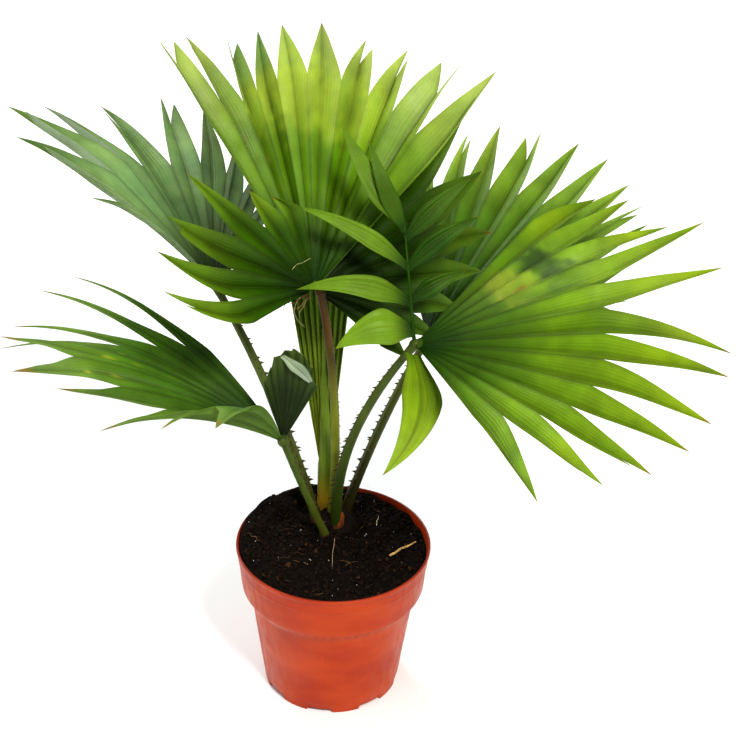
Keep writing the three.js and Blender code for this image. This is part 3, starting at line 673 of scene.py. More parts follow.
def add_blade(pile, hub, blade, salt):
    """One blade as a thin closed pleated sheet, cut between its leaflets from each sinus to the tips."""
    leaflets, edges = fan_of(blade)
    centre = np.asarray(hub, dtype=float)
    tone = TONES[blade["tone"]]
    columns = np.array(COLUMNS)
    across = columns[None, :, None]
    wide_count = len(columns)

    def on_edge(edge, r):
        r = np.atleast_1d(r)
        points = centre + edge["way"] * r[:, None]
        points[:, 2] += sag(edge, r)
        return points + edge["up"] * (blade["pleat"] * r * edge["width"])[:, None]

    spots = []
    for i, along, size, strength, colour in blade["spots"]:
        place = centre + leaflets[i]["way"] * leaflets[i]["reach"] * along
        place[2] += sag(leaflets[i], leaflets[i]["reach"] * along)
        spots.append((place, size, strength, from_screen(colour)))

    for i, leaflet in enumerate(leaflets):
        way, up, side, reach = leaflet["way"], leaflet["up"], leaflet["side"], leaflet["reach"]
        swing = blade["swing"]
        onward = part_way(*swing, i / (len(leaflets) - 1))
        bend = np.array(blade["aside"].get(i, (0, 0, 0)), dtype=float) + side * onward
        bend = bend + side * (STRAY * reach * chance(i, blade["count"]))
        bend = bend + up * (STRAY * reach * chance(i, blade["count"] + 0.5))
        both = [edges[i], edges[i + 1]]
        starts = [edge["fused"] * edge["way"].dot(way) for edge in both]
        first = min(starts)

        def midrib(r):
            r = np.atleast_1d(r)
            t = np.clip((r - first) / (reach - first), 0, None)
            points = centre + way * r[:, None] + bend * (t ** LEAFLET["bend_power"])[:, None]
            points[:, 2] += sag(leaflet, r)
            wave = np.sin(5.2 * t + 3 * chance(i, 7.7 + salt))
            return points + up * (LEAFLET["ripple"] * reach * wave * t * (1 - t) * 2.4)[:, None]

        def twisted(vector, t):
            angles = math.radians(LEAFLET["twist"]) * chance(i, 3.3 + salt) * t
            return turned_about(np.broadcast_to(vector, (len(t), 3)), way, angles)

        middle_start = sum(starts) / 2
        fused_r = np.linspace(blade["start"], middle_start, FUSED_ROWS + 1)
        free_t = np.linspace(0, 1, FREE_ROWS + 1)
        luck = chance(i, 5.1 + salt)
        by_luck = math.copysign(1, luck) if blade["forked"] and abs(luck) > FORKED else 0
        chosen = blade["second_tips"].get(i, by_luck)
        split_row = int(round((0.62 + 0.12 * chance(i, 6.4 + salt)) * FREE_ROWS))
        notch = split_row / FREE_ROWS
        past = np.clip((free_t - notch) / (1 - notch), 0, 1)
        shorter = 0.83 + 0.07 * chance(i, 8.2 + salt)
        dryness = blade["dryness"]
        if dryness is None:
            dryness = 0.014 + max(0.0, 0.035 * chance(i, 9.6 + salt))
        bright = 1 + 0.13 * chance(i, 12.8 + salt)

        for s, edge in enumerate(both):
            sign = -1 if s == 0 else 1
            minor = sign == chosen
            end, tip_out = (shorter, 0.62) if minor else (1.0, 0.0)
            t = np.where(free_t <= notch, free_t, notch + (end - notch) * past)
            swung = twisted(on_edge(edge, edge["fused"])[0] - midrib(starts[s])[0], t)
            width = 1 - (1 - tip_out) * (t / end) ** 1.7 if minor else 1 - t ** LEAFLET["taper"]
            width = width * (1 - blade["narrow"] * smooth_step(0, LEAFLET["narrowed"], t))
            own_r = part_way(starts[s], reach, t)
            middle_r = part_way(middle_start, reach, t)
            outer = midrib(own_r * (1 - past) + middle_r * past) + swung * width[:, None]
            inner = midrib(middle_r) + swung * (tip_out * past**1.25)[:, None]
            inner_line = np.concatenate([midrib(fused_r), inner[1:]])
            edge_line = on_edge(edge, np.linspace(blade["start"], edge["fused"], FUSED_ROWS + 1))
            outer_line = np.concatenate([edge_line, outer[1:]])

            free_up = twisted(up, t)[1:]
            inner_up = np.concatenate([np.broadcast_to(up, (FUSED_ROWS + 1, 3)), free_up])
            outer_up = np.concatenate([np.broadcast_to(edge["up"], (FUSED_ROWS + 1, 3)), free_up])
            ups = unit(inner_up[:, None] * (1 - across) + outer_up[:, None] * across)
            surface = inner_line[:, None] * (1 - across) + outer_line[:, None] * across
            wide = np.linalg.norm(outer_line - inner_line, axis=1)
            bulge = np.sin(math.pi * columns)[None, :] * wide[:, None] * LEAFLET["bulge"]
            surface = surface + ups * bulge[..., None]

            share = np.concatenate([fused_r / reach, middle_r[1:] / reach])[:, None] * np.ones(wide_count)
            spread = columns[None, :] * np.ones((len(share), 1))
            rib = np.where(columns < 0.08, 0.5, 0.0)[None, :] * (1 - share)
            close = np.ones((len(share), 1))
            close[-len(CLOSING):, 0] = CLOSING

            tint = leaf_tint(tone, share, spread, surface, salt, dryness) * bright
            # Painted light and shade: one half of each folded leaflet is drawn lighter and the other darker.
            tint = tint * (1 - sign * blade["halves"] * smooth_step(0.2, 0.6, share))[..., None]
            # Spots of leaf colour, and painted shadows where the colour is dark green.
            for place, size, strength, spot in spots:
                wander = 0.45 * size * rough(surface, 7, 77)[..., None]
                gap = np.linalg.norm(surface - place + wander, axis=-1)
                tint = part_way(tint, spot, (strength * np.exp(-((gap / size) ** 5)))[..., None])
            below = part_way(tint, from_screen(tone[3]) * bright, 0.75)
            places = np.stack([0.5 + 0.5 * sign * spread, share * reach / 100], axis=-1)
            left = sign < 0
            grids = (surface, ups, rib, tint, below, places)
            surface, ups, rib, tint, below, places = (grid[:, ::-1] if left else grid for grid in grids)
            outside = 0 if left else wide_count - 1
            margin = (i == 0 and left) or (i == len(leaflets) - 1 and not left)
            walls = [(outside, 0 if margin else FUSED_ROWS, left)]
            walls.append((wide_count - 1 - outside, FUSED_ROWS + split_row, not left))
            add_sheet(pile, surface, ups, close, rib, tint, below, places, walls)


def add_collar(pile, hub, blade, tint):
    """The low crest where the leaflets leave the stalk, on the leaf's upper side."""
    section = ((3.2, -1.2), (7.6, -0.6), (7.0, 1.7), (5.0, 2.4), (3.6, 1.5))
    edges = fan_of(blade)[1]
    points = [hub + edge["way"] * r + edge["up"] * h for edge in edges for r, h in section]
    sides = len(section)
    faces = grid_faces(len(edges), sides, closed=True)[:, ::-1]
    low = np.array([(0, k, k + 1, k + 1) for k in range(1, 4)])
    high = low[:, [0, 2, 1, 1]] + (len(edges) - 1) * sides
    pile.add(points, np.concatenate([faces, low, high]), tint)


def add_leaflet(pile, foot, leaflet, tone, salt):
    """A free leaflet: a thin closed sheet that is folded along its midrib, broad before its middle."""
    _, start, turn, lean, reach, width, bow, roll, light = leaflet
    way = direction(turn, lean)
    face = direction(0, 90)
    up = unit(face - way * face.dot(way))
    up = turned_about(up[None], way, [math.radians(roll)])[0]
    side = unit(np.cross(way, up))
    t = np.linspace(0, 1, FREE["rows"] + 1)
    ripple = 0.02 * width * np.sin(9 * t + 4 * chance(1, salt)) * np.sin(math.pi * t)
    midrib = foot + way * part_way(start, reach, t)[:, None] + side * (bow * 4 * t * (1 - t))[:, None]
    midrib = midrib + up * (ripple + 3 * np.sin(math.pi * t) - 5 * t**2)[:, None]
    opened = FREE["foot"] + (1 - FREE["foot"]) * smooth_step(0, FREE["peak"], t)
    half = (width / 2 * opened * (1 - t ** FREE["taper"]) / FREE["full"])[:, None]
    across = np.concatenate([-np.array(COLUMNS[:0:-1]), np.array(COLUMNS)])
    folds = np.abs(across)
    wave = 0.05 * np.sin(2 * math.pi * FREE["half_folds"] * folds) + FREE["fold"] * folds
    lift = half * wave + 0.05 * half * np.sin(7 * t + salt)[:, None] * folds
    surface = midrib[:, None] + side * (half * across)[..., None] + up * lift[..., None]
    share = t[:, None] * np.ones(len(across))
    spread = folds[None, :] * np.ones((len(t), 1))
    twist = turned_about(np.broadcast_to(up, (len(t), 3)), way, np.radians(14) * chance(2, salt) * t)[:, None]
    close = np.minimum(1, (1 - share) * 14)
    rib = np.where(folds < 0.08, 0.6, 0.0)[None, :] * (1 - share)
    tint = leaf_tint(tone, 0.25 + 0.75 * share, spread, surface, salt, 0.03)
    # Painted light: away from its foot, the leaflet is drawn towards the lit green by its light share.
    painted_light_shift = from_screen(LIT) - tint
    tint = tint + painted_light_shift * (0.75 * light) * smooth_step(0.0, 0.3, share)[..., None]
    below = part_way(tint, from_screen(tone[3]), 0.6)
    places = np.stack([0.5 + 0.5 * across[None, :] * np.ones((len(t), 1)), share * reach / 100], axis=-1)
    walls = [(0, 0, True), (len(across) - 1, 0, False)]
    add_sheet(pile, surface, twist, close, rib, tint, below, places, walls)


def add_spray(pile, hub, spray, salt):
    """A rib with free leaflets along it, or a leaflet that stands on the hub by itself."""
    hub = np.asarray(hub, dtype=float)
    tone = TONES[spray["tone"]]
    rib = spray.get("rib")
    rib_way = direction(*spray["at"]) if "at" in spray else np.zeros(3)
    if rib:
        rib_way = direction(rib["turn"], rib["lean"])
        t = np.linspace(0, 1, 30)
        points, faces = tube(hub + rib_way * (rib["length"] * t)[:, None], part_way(*rib["radii"], t), 14)
        pile.add(points, faces, from_screen(tone[1]) * 1.1, np.full((len(points), 2), 0.7))
    for number, leaflet in enumerate(spray["leaflets"]):
        add_leaflet(pile, hub + rib_way * leaflet[0], leaflet, tone, salt + 3 * number)


# Stalks


def stalk_path(leaf, rows):
    """Points along a stalk at even steps, from its foot in the crown to its hub."""
    foot = np.array([*leaf["foot"], SOIL["level"] + 1.0])
    hub = np.array(leaf["stalk_hub"], dtype=float)
    bend = (foot + hub) / 2 + np.array(leaf["bow"], dtype=float)
    t = np.linspace(0, 1, 400)[:, None]
    curve = (1 - t) ** 2 * foot + 2 * t * (1 - t) * bend + t**2 * hub
    steps = np.concatenate([[0], np.cumsum(np.linalg.norm(np.diff(curve, axis=0), axis=1))])
    places = np.linspace(0, steps[-1], rows)
    return np.stack([np.interp(places, steps, curve[:, k]) for k in range(3)], axis=1)


THORN = {"length": 3.7, "width": 3.4, "spacing": 6.6, "spread": 47, "start": 0.1, "end": 0.9}
THORN_SIDES = 7
THORN_LEVELS = np.array([-0.35, 0.0, 0.3, 0.62, 0.86, 1.0])[:, None]
THORN_BREADTHS = THORN["width"] * np.array([1.25, 1.0, 0.62, 0.36, 0.16, 0.0])[:, None]
THORN_DARK = (74, 44, 24)
HUB_BALL = {"radius": 4.6, "half_height": 5.2, "rows": 11, "sides": 18}
STALK_ROWS = 90
STALK_SIDES = 26


def thorn_mesh():
    """A spike along +Z that leans towards -X, flat at its sides and broad at its foot."""
    angle = ring_angles(THORN_SIDES)
    lean = 0.42 * THORN["length"] * np.maximum(THORN_LEVELS, 0) ** 1.8
    height = THORN["length"] * THORN_LEVELS * np.ones(THORN_SIDES)
    rings = [0.5 * THORN_BREADTHS * np.cos(angle) - lean, 0.26 * THORN_BREADTHS * np.sin(angle), height]
    points = np.concatenate([np.stack(rings, axis=-1).reshape(-1, 3), [(0, 0, height[0, 0])]])
    rows = len(THORN_LEVELS)
    ring = np.arange(THORN_SIDES)
    low = end_faces(rows * THORN_SIDES, (ring + 1) % THORN_SIDES, ring)
    faces = np.concatenate([grid_faces(rows, THORN_SIDES, closed=True), low])[:, ::-1]
    shade = np.append(np.repeat(np.linspace(0, 1, rows), THORN_SIDES), 0)
    return points, faces, np.clip(shade * 1.6, 0, 1)[:, None]


def stalk_shape(angle, row):
    turn = turn_from(0, angle)
    channel = 0.2 * np.exp(-((turn / 0.55) ** 2)) * smooth_step(0.05, 0.3, row)
    ridge = 0.07 * np.exp(-(((np.abs(turn) - 0.95) / 0.3) ** 2))
    return 1 - channel + ridge + 0.012 * np.cos(9 * angle + 3 * np.sin(4 * row))


def add_stalk(pile, leaf, salt):
    """A stalk with a shallow channel on its inner side, swollen at both ends, with its thorns."""
    path = stalk_path(leaf, STALK_ROWS)
    t = np.linspace(0, 1, len(path))
    radii = part_way(*leaf["radii"], t)
    radii = radii * (1 + 0.16 * (1 - smooth_step(0, 0.12, t)) + 0.22 * smooth_step(0.93, 1, t))
    inward = np.array([CROWN["x"] - leaf["hub"][0], CROWN["y"] - leaf["hub"][1], 0.0])
    points, faces = tube(path, radii, STALK_SIDES, inward, stalk_shape)
    low, high = (from_screen(c) for c in leaf["colours"])
    share = np.append(smooth_step(*leaf["window"], np.repeat(t, STALK_SIDES)), (0, 1))[:, None]
    pile.add(points, faces, part_way(low, high, share) * (1 + 0.12 * rough(points, 12, 31 + salt)[:, None]))

    tangents, across, beside = sweep_frames(path, inward)
    frame_rows = np.stack([across, beside, tangents], axis=1)
    polar = np.linspace(0, math.pi, HUB_BALL["rows"])
    profile = np.stack([HUB_BALL["radius"] * np.sin(polar), -HUB_BALL["half_height"] * np.cos(polar)], axis=1)
    ball = path[-1] + lathe_points(profile, HUB_BALL["sides"]) @ frame_rows[-1]
    pile.add(ball, grid_faces(HUB_BALL["rows"], HUB_BALL["sides"], closed=True), high * 0.95)

    thorn, thorn_faces, thorn_shade = thorn_mesh()
    length = np.linalg.norm(np.diff(path, axis=0), axis=1).sum()
    count = int(length * (THORN["end"] - THORN["start"]) / THORN["spacing"])
    for i, row in itertools.product(range(count), (-1, 1)):
        if chance(i, salt + 2.5 * row) > 0.8:
            continue
        step = (i + 0.5 + 0.35 * chance(i, salt + row)) / count
        place = part_way(THORN["start"], THORN["end"], step)
        k = int(place * (len(path) - 1))
        spread = math.radians(THORN["spread"] + 9 * chance(i, salt + 1.4 * row)) * row
        out = across[k] * math.cos(spread) + beside[k] * math.sin(spread)
        size = (1.05 - 0.45 * place) * (1 + 0.25 * chance(i, salt + 4.1 * row)) * leaf["thorn_size"]
        colour = part_way(low, high, smooth_step(*leaf["window"], place)) * 0.8
        points = thorn * size @ np.array([tangents[k], np.cross(tangents[k], out), out])
        tint = part_way(colour, from_screen(THORN_DARK), thorn_shade)
        pile.add(path[k] + out * radii[k] * 0.98 + points, thorn_faces, tint)


def add_sheath(pile, base, top, radius, wall, height, colours, seed, open_angle=None, point=0.25):
    """A torn sleeve of dry fibre round the foot of a stalk."""
    rows, sides = 16, 40
    angle = ring_angles(sides)
    tall = height * (0.78 + point * rough_ring(angle, 3, 0.5, seed))
    if open_angle is not None:
        tall = tall * (0.3 + 0.7 * smooth_step(0.25, 2.6, np.abs(turn_from(open_angle, angle))))
    share = np.linspace(0, 1, rows)
    rise = share[:, None] * tall[None, :]
    base, top = np.asarray(base, dtype=float), np.asarray(top, dtype=float)
    axis = unit(top - base)
    x = unit(np.cross(axis, (0.0, 1.0, 0.2)))
    y = np.cross(axis, x)
    crimp = 1 + 0.04 * np.cos(11 * angle) + 0.03 * rough_ring(angle, 4, 0.7, seed + 1)

    def skin(extra):
        flare = (radius + extra) * (1.16 - 0.2 * share[:, None] ** 0.6) * crimp[None, :]
        ring = x * (flare * np.cos(angle))[..., None] + y * (flare * np.sin(angle))[..., None]
        return base + axis * rise[..., None] + ring

    total = rows * sides
    points = np.concatenate([skin(wall), skin(0.0)]).reshape(-1, 3)
    i = np.arange(sides)
    j = (i + 1) % sides
    a, b = total - sides + i, total - sides + j
    walls = [np.stack([i + total, j + total, j, i], axis=1), np.stack([a, b, total + b, total + a], axis=1)]
    inner = grid_faces(rows, sides, closed=True, first=total)[:, ::-1]
    low, high = (from_screen(c) for c in colours)
    tint = part_way(low, high, np.tile(np.repeat(share, sides), 2)[:, None])
    tint = tint * (1 + 0.25 * rough(points * (1, 1, 0.15), 1.4, seed + 2)[:, None])
    pile.add(points, np.concatenate([grid_faces(rows, sides, closed=True), inner, *walls]), tint)


# The blades, one piece for each node
for number, leaf in enumerate(LEAVES):
    for blade in leaf["blades"]:
        pile = Pile()
        add_blade(pile, leaf["hub"], blade, number * 3 + len(blade["part"]))
        add_collar(pile, leaf["hub"], blade, from_screen(TONES[blade["tone"]][0]) * 1.15)
        piece = pile.build(f"fan_{leaf['name']}_{blade['part']}", LEAF, weld=True, crease=38)
        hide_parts(f"blade_{leaf['name']}_{blade['part']}")
    for spray in leaf["sprays"]:
        pile = Pile()
        add_spray(pile, leaf["hub"], spray, number * 5 + len(spray["part"]))
        piece = pile.build(f"fan_{leaf['name']}_{spray['part']}", LEAF, weld=True, crease=38)
        if "at" not in spray:
            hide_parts(f"blade_{leaf['name']}_{spray['part']}")

# The stalks
for number, leaf in enumerate(LEAVES):
    pile = Pile()
    add_stalk(pile, leaf, number)
    piece = pile.build(f"petiole_{leaf['name']}", STALK_LOOK, weld=True, crease=50)
    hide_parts(f"stalk_{leaf['name']}")


# The newest leaf, folded like a closed fan on its own stalk


def spear_shape(angle, row):
    return 1 + 0.1 * np.cos(10 * angle) * smooth_step(0.3, 0.9, row)


spear_sides = 40
pile = Pile()
spear_path = stalk_path(SPEAR, 60)
beyond = direction(92, 0, 84) * np.linspace(3, 120, 40)[:, None]
spear_path = np.concatenate([spear_path, spear_path[-1] + beyond])
t = np.linspace(0, 1, len(spear_path))
points, faces = tube(spear_path, 6.9 - 5.6 * smooth_step(0.42, 1, t), spear_sides, (0, -1, 0), spear_shape)
mix = np.append(smooth_step(0.06, 0.5, np.repeat(t, spear_sides)), (0, 1))[:, None]
tint = part_way(*(from_screen(c) for c in SPEAR["colours"]), mix)
pile.add(points, faces, tint, np.full((len(points), 2), 0.7))
add_blade(pile, SPEAR["hub"], SPEAR_BLADE, 40)
piece = pile.build("folded_leaf", LEAF, weld=True, crease=38)
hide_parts("spear_leaf")


# Compost


def soil_height(x, y):
    """The source's height of the compost over a point."""
    lumps = np.sin(x * 0.11 + 1) * np.cos(y * 0.13) + 0.6 * np.sin(x * 0.23 - y * 0.19 + 2)
    heading = math.radians(SOIL["rise_heading"])
    side = (x * math.cos(heading) + y * math.sin(heading)) / POT["rim"]
    return SOIL["level"] + SOIL["bump"] * lumps + SOIL["rise"] * side


def fine_soil_height(x, y):
    """The compost with its lumps, heaped at the back left and lower at the right."""
    flat = np.stack([x, y], axis=-1)
    out = np.hypot(x, y)
    bumps = ((1.5, 11, 51), (1.0, 5, 52), (0.6, 2.3, 53), (0.3, 1.2, 54))
    rise = sum(height * rough(flat, scale, seed) for height, scale, seed in bumps)
    heap_turn = turn_from(math.radians(132), np.arctan2(y, x))
    dip_turn = turn_from(math.radians(15), np.arctan2(y, x))
    heap = 5.5 * np.exp(-((heap_turn / 0.75) ** 4)) * smooth_step(48, 76, out)
    heap = heap - 3.2 * np.exp(-(dip_turn**2)) * smooth_step(46, 80, out)
    rise = rise * (0.35 + 0.65 * smooth_step(81, 74, out))
    return soil_height(x, y) + heap * (1 + 0.3 * rough(flat, 9, 55)) + rise


def on_soil(x, y, lift=0.0):
    return (x, y, float(fine_soil_height(np.array([x]), np.array([y]))[0]) + lift)


pile = Pile()
soil_sides = 300
inset = POT["wall"] + 0.2
angle = ring_angles(soil_sides)
radii = (POT["rim"] - POT["lip"] - inset) * np.linspace(0.004, 1, 110)[::-1, None]
x, y = radii * np.cos(angle), radii * np.sin(angle)
skirt = [(POT["foot"] - inset, POT["floor"] + 0.35)]
skirt += [(radius - inset, height) for radius, height in (POT["ledge_foot"], POT["collar_foot"])]
rows = np.concatenate([lathe_points(skirt, soil_sides), np.stack([x, y, fine_soil_height(x, y)], axis=-1)])
points = np.concatenate([rows.reshape(-1, 3), [(0, 0, skirt[0][1]), on_soil(0.0, 0.0)]])
tint = 1 + 0.45 * rough(points, 4, 61)[:, None] + 0.3 * rough(points, 14, 62)[:, None]
pile.add(points, capped_faces(len(rows), soil_sides), np.clip(from_screen((17, 11, 7)) * tint, 0.002, 1))
soil_piece = pile.build("compost_bed", COMPOST_LOOK, crease=60)
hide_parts("soil")

# A twenty-sided lump, from which each crumb is made
GOLDEN = (1 + 5**0.5) / 2
ICO_SIGNS = ((-1, 1), (1, 1), (-1, -1), (1, -1))
ICO_POINTS = [(a, b * GOLDEN, 0) for a, b in ICO_SIGNS]
ICO_POINTS += [(0, a, b * GOLDEN) for a, b in ICO_SIGNS]
ICO_POINTS += [(b * GOLDEN, 0, a) for a, b in ICO_SIGNS]
ICO_POINTS = unit(np.array(ICO_POINTS))
ICO_FACES = [
    (0, 11, 5), (0, 5, 1), (0, 1, 7), (0, 7, 10), (0, 10, 11), (1, 5, 9), (5, 11, 4), (11, 10, 2),
    (10, 7, 6), (7, 1, 8), (3, 9, 4), (3, 4, 2), (3, 2, 6), (3, 6, 8), (3, 8, 9), (4, 9, 5),
    (2, 4, 11), (6, 2, 10), (8, 6, 7), (9, 8, 1),
]


CRUMB_FIELD = 79.0
ROOT_FIELD = 78


def random_turn(rng):
    axis = unit(rng.normal(size=3))
    return np.array(Matrix.Rotation(rng.uniform(0, 2 * math.pi), 3, Vector(axis)))


def scatter(pile, count, sizes, stretch, colours, seed, sink):
    """Crumbs that lie in the compost's surface, each turned, squashed and tinted its own way."""
    rng = np.random.default_rng(seed)
    low, high = (from_screen(c) for c in colours)
    for _ in range(count):
        radius = CRUMB_FIELD * math.sqrt(rng.uniform(0, 1))
        heading = rng.uniform(0, 2 * math.pi)
        size = part_way(*sizes, rng.uniform(0, 1) ** 2.2)
        lumps = ICO_POINTS * (1 + 0.28 * rng.uniform(-1, 1, (12, 1)))
        lumps = lumps * size * np.array([1, rng.uniform(0.6, 1), rng.uniform(*stretch)])
        lumps = lumps @ random_turn(rng).T
        place = on_soil(radius * math.cos(heading), radius * math.sin(heading), size * sink)
        pile.add(lumps + place, ICO_FACES, np.clip(part_way(low, high, rng.uniform(0, 1)), 0.001, 1))


pile = Pile()
scatter(pile, 3000, (0.5, 2.6), (0.6, 1.1), ((12, 8, 5), (36, 24, 17)), 71, 0.25)
scatter(pile, 90, (0.7, 2.4), (0.3, 2.2), ((44, 28, 16), (76, 48, 26)), 72, 0.4)
scatter(pile, 48, (0.35, 0.9), (0.7, 1.0), ((150, 146, 138), (214, 212, 206)), 73, 0.5)
pile.build("compost_crumbs", COMPOST_LOOK, crease=20)

# Fine roots, then straws as (start, end, lift, radius, screen colour, stray)
pile = Pile()
rng = np.random.default_rng(81)
for index in range(34):
    radius = (ROOT_FIELD - 4) * math.sqrt(rng.uniform(0.02, 1))
    heading = rng.uniform(0, 2 * math.pi)
    length = rng.uniform(4, 17)
    lie = rng.uniform(0, 2 * math.pi)
    x, y = radius * math.cos(heading), radius * math.sin(heading)
    x2, y2 = x + length * math.cos(lie), y + length * math.sin(lie)
    if math.hypot(x2, y2) > ROOT_FIELD:
        continue
    arch = (0, 0, rng.uniform(0.4, 2.2))
    tint = part_way(from_screen((44, 30, 20)), from_screen((112, 86, 54)), rng.uniform(0, 1))
    radii = np.linspace(0.42, 0.2, 9) * rng.uniform(0.6, 1.3)
    add_fibre(pile, on_soil(x, y, -0.4), on_soil(x2, y2, 0.5), arch, 9, 200 + index, 1.4, radii, 5, tint)
STRAWS = [
    ((49, -13), (72, 4), 5.5, 1.15, (206, 168, 104), 1.5),
    ((1, 2), (0, -37), 1.4, 0.34, (168, 142, 104), 0.8),
    ((37, 26), (39, 40), 4.0, 0.4, (190, 178, 150), 0.6),
    ((-20, -34), (-34, -28), 1.5, 0.4, (120, 92, 60), 0.6),
]
for index, (first, second, lift, radius, colour, stray) in enumerate(STRAWS):
    ends = on_soil(*first, 0.6), on_soil(*second, lift)
    radii = radius * np.linspace(1, 0.55, 16)
    add_fibre(pile, *ends, (0, 0, 1.2), 16, 300 + index, stray, radii, 7, from_screen(colour))
pile.build("straw_and_roots", COMPOST_LOOK, weld=True, crease=60)

# The crown: a fibrous stump, with torn sleeves of dry sheath round the stalks' feet
pile = Pile()
crown_sides = 72
stump, shoulder, tip = (CROWN[key] for key in ("radius", "shoulder", "top"))
profile = [
    (stump, -4), (stump * 0.99, 1), (stump * 0.86, 4), (shoulder + 2.5, 7),
    (shoulder, CROWN["shoulder_height"]), (tip + 3.5, 12.6), (tip, CROWN["height"] - 0.6),
]
rings = lathe_points(profile, crown_sides)
angle = ring_angles(crown_sides)
wavy = 1 - 0.09 * (0.5 + 0.5 * np.cos(13 * angle + 1)) - 0.05 * rough_ring(angle, 5, 0.6, 91)
rings[..., :2] *= wavy[None, :, None]
shift = np.array([CROWN["x"], CROWN["y"], SOIL["level"]])
points = np.concatenate([rings.reshape(-1, 3), [(0, 0, -4), (0, 0, CROWN["height"])]]) + shift
tint = from_screen((30, 20, 13)) * (1 + 0.3 * rough(points * (1, 1, 0.2), 2.2, 92)[:, None])
pile.add(points, capped_faces(len(profile), crown_sides), tint)
crown = pile.build("crown_stump", SHEATH_LOOK, weld=True, crease=45)
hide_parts("crown_base")

pile = Pile()
for number, leaf in enumerate(LEAVES):
    path = stalk_path(leaf, 60)
    radius = leaf["radii"][0] * 1.16
    colours = ((36, 24, 15), (66, 44, 26))
    add_sheath(pile, path[0] - (0, 0, 2), path[12], radius, 0.6, leaf["sheath"], colours, 400 + number)
colours = ((34, 22, 14), (158, 86, 44))
front = {"open_angle": -math.pi / 2, "point": 0.12}
add_sheath(pile, (2, 22.4, 138), (4, 22, 170), 5.4, 0.6, 30, colours, 431, **front)
colours = ((96, 44, 16), (196, 92, 40))
side = {"open_angle": math.pi * 0.2, "point": 0.3}
add_sheath(pile, (-9, 43, 140), (-9, 43.5, 170), 7.4, 0.8, 24, colours, 433, **side)
pile.build("dry_sheaths", SHEATH_LOOK, weld=True, crease=50)


# Pot


def rounded(profile, rounding, steps=5):
    """A profile whose inner corners are rounded by short curves."""
    points = [np.array(p, dtype=float) for p in profile]
    result = [points[0]]
    for a, b, c in zip(points, points[1:], points[2:]):
        size = min(rounding, 0.45 * np.linalg.norm(b - a), 0.45 * np.linalg.norm(c - b))
        start = b + (a - b) / np.linalg.norm(a - b) * size
        end = b + (c - b) / np.linalg.norm(c - b) * size
        result += [(1 - t) ** 2 * start + 2 * t * (1 - t) * b + t**2 * end for t in np.linspace(0, 1, steps)]
    return [*result, points[-1]]


def spaced(profile, step):
    """A profile with points added so that none are further apart than the step."""
    result = [profile[0]]
    for a, b in zip(profile, profile[1:]):
        count = max(1, int(math.ceil(np.linalg.norm(b - a) / step)))
        result += [a + (b - a) * k / count for k in range(1, count + 1)]
    return result


pot_sides = 240
foot, rim, height, wall = (POT[key] for key in ("foot", "rim", "height", "wall"))
ledge_radius, ledge_height = POT["ledge_foot"]
collar_radius, collar_height = POT["collar_foot"]
under_rim = rim - POT["lip"]
outside = [
    (foot - 0.02, 0.4), (foot + 0.2, 2),
    (ledge_radius - 0.6, ledge_height - 3), (ledge_radius + 0.2, ledge_height),
    (collar_radius - 0.6, collar_height - 3.5), (collar_radius + 0.1, collar_height + 1.5),
    (collar_radius + 1.9, height - 16), (collar_radius + 2.6, height - 15),
    (collar_radius + 2.4, height - 13.5), (under_rim - 0.3, height - 6), (under_rim, height - 4.4),
    (rim - 0.1, height - 3.2), (rim, height - 1.6), (rim - 0.5, height - 0.1), (rim - 1.2, height),
    (rim - wall - 0.1, height - 0.4), (under_rim - wall, height - 5),
    (collar_radius - wall, collar_height), (ledge_radius - wall, ledge_height), (foot - wall, POT["floor"]),
]
deep = foot - NOTCH["depth"]
bottom = [(radius, 0.0) for radius in (deep, deep + 0.05, deep + 0.3, foot - 3, foot - 0.7)]
profile = np.array([*bottom, *spaced(rounded(outside, 1.3), 3.0)])
rings = lathe_points(profile, pot_sides)
angle = ring_angles(pot_sides)
half_notch = math.asin(NOTCH["width"] / 2 / foot)
lift = np.zeros(pot_sides)
for k in range(NOTCH["count"]):
    away = np.abs(turn_from(math.radians(NOTCH["first"] + 360 * k / NOTCH["count"]), angle))
    lift = np.maximum(lift, smooth_step(half_notch + 0.012, half_notch - 0.012, away))
near_foot = smooth_step(9, 3, profile[:, 1]) * (profile[:, 0] > deep + 0.1)
near_foot = near_foot * (np.arange(len(profile)) < len(bottom) + 12)
rings[..., 2] += near_foot[:, None] * lift[None, :] * NOTCH["height"] * (rings[..., 2] < 9)
slack = smooth_step(0, 30, profile[:, 1]) * smooth_step(height, height - 20, profile[:, 1])
dent = rough_ring(angle, 6, 2.4, 95)
rings[..., :2] *= (1 + 0.0022 * slack[:, None] * dent[None, :])[..., None]
points = np.concatenate([rings.reshape(-1, 3), [(0, 0, 0), (0, 0, POT["floor"])]])
inner_rows = 27
shade = np.ones((len(profile), pot_sides, 3))
# Painted shade: the inner wall and the inner edge of the rim's top are drawn darker than the plastic.
shade[-inner_rows:] = (0.3, 0.2, 0.2)
shade[(profile[:, 1] > height - 0.7) & (profile[:, 0] < rim - 0.4)] = (0.5, 0.36, 0.36)
shade = np.concatenate([shade.reshape(-1, 3), np.ones((2, 3))])
pile = Pile()
pile.add(points, capped_faces(len(profile), pot_sides), shade)
pot = pile.build("plastic_pot", POT_LOOK, crease=40)
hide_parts("pot")

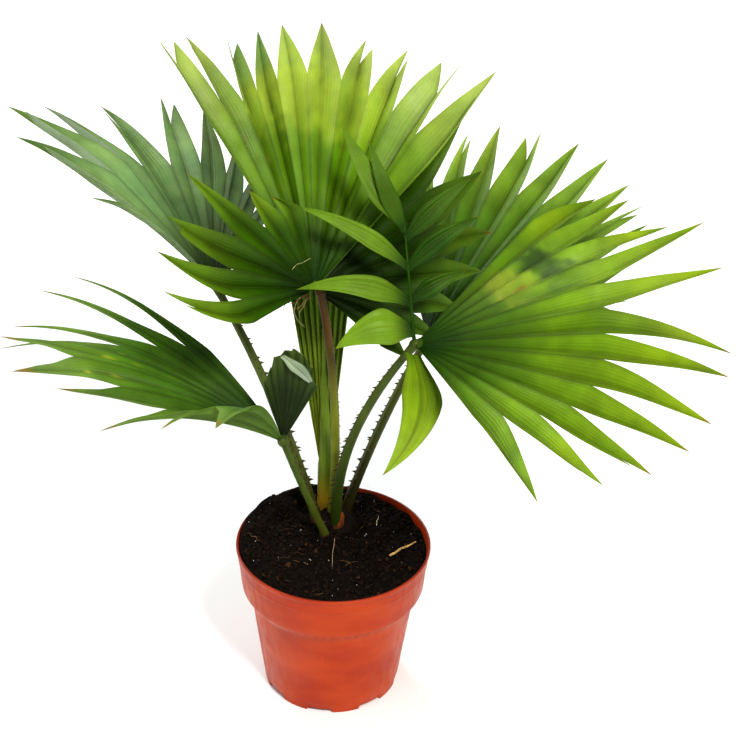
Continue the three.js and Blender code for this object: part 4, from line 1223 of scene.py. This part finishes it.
# Torn fibres at the centre leaf's hub, as (start, end, sag, radius, screen colour)
THREADS = [
    ((-24, 3, 388), (-44, -6, 384), (0, 0, -3), 0.55, (120, 84, 46)),
    ((-24, 2, 387), (-38, -8, 380), (0, 0, -5), 0.4, (150, 116, 72)),
    ((-22, 2, 386), (-30, -5, 371), (-3, 0, -2), 0.35, (168, 150, 104)),
    ((-30, 2, 386), (-26, -2, 360), (-6, 0, -2), 0.3, (188, 178, 140)),
    ((-44, -4, 384), (-48, -9, 372), (3, 0, 1), 0.3, (150, 120, 80)),
    ((-40, 2, 402), (-22, -4, 424), (-3, -3, 2), 0.35, (206, 202, 140)),
]
pile = Pile()
for index, (first, second, arch, radius, colour) in enumerate(THREADS):
    radii = radius * np.linspace(1, 0.4, 14)
    add_fibre(pile, first, second, arch, 14, 500 + index, 1.0, radii, 6, from_screen(colour))
pile.build("hub_fibres", SHEATH_LOOK, weld=True, crease=60)

# Stage, lights and camera, in metres
floor_material, floor_shader = new_material("floor", 0.8, 0.2)
floor_shader.inputs["Base Color"].default_value = (0.86, 0.86, 0.85, 1)
FLOOR_HALF = 7.0
corners = [(FLOOR_HALF * x, FLOOR_HALF * y, 0) for x, y in ((-1, -1), (1, -1), (1, 1), (-1, 1))]
mesh = bpy.data.meshes.new("floor")
mesh.from_pydata(corners, [], [(0, 1, 2, 3)])
mesh.materials.append(floor_material)
plane = bpy.data.objects.new("floor", mesh)
bpy.context.scene.collection.objects.link(plane)

world = bpy.data.worlds.new("studio")
bpy.context.scene.world = world
world.use_nodes = True
world.node_tree.nodes["Background"].inputs["Color"].default_value = (0.95, 0.97, 1.0, 1)
world.node_tree.nodes["Background"].inputs["Strength"].default_value = 0.42

# Each light is (name, place, size, power, colour)
LIGHTS = [
    ("key", (0.8, -1.5, 2.2), 0.6, 62, (1.0, 0.98, 0.94)),
    ("fill", (-1.7, -0.9, 1.3), 1.6, 9, (0.95, 0.97, 1.0)),
    ("back", (-0.9, 1.5, 2.0), 1.0, 44, (0.97, 1.0, 1.0)),
]
AIM = Vector((0, 0, 0.3))
bpy.context.scene.view_settings.view_transform = "Standard"
bpy.context.scene.view_settings.look = "Medium High Contrast"
for name, place, size, power, colour in LIGHTS:
    light = bpy.data.lights.new(name, "AREA")
    light.size = size
    light.energy = power
    light.color = colour
    lamp = bpy.data.objects.new(name, light)
    lamp.location = place
    lamp.rotation_euler = (AIM - Vector(place)).to_track_quat("-Z", "Y").to_euler()
    bpy.context.scene.collection.objects.link(lamp)

CAMERA = {"place": (0.0259, -1.2823, 1.1012), "pitch": 31.3, "roll": 1.6, "focal_px": 1826, "frame_px": 736}
camera_data = bpy.data.cameras.new("camera")
camera_data.sensor_width = 36
camera_data.lens = 36 * CAMERA["focal_px"] / CAMERA["frame_px"]
camera = bpy.data.objects.new("camera", camera_data)
pitch = Matrix.Rotation(math.radians(90 - CAMERA["pitch"]), 4, "X")
roll = Matrix.Rotation(math.radians(CAMERA["roll"]), 4, "Z")
camera.matrix_world = Matrix.Translation(CAMERA["place"]) @ pitch @ roll
bpy.context.scene.collection.objects.link(camera)
bpy.context.scene.camera = camera
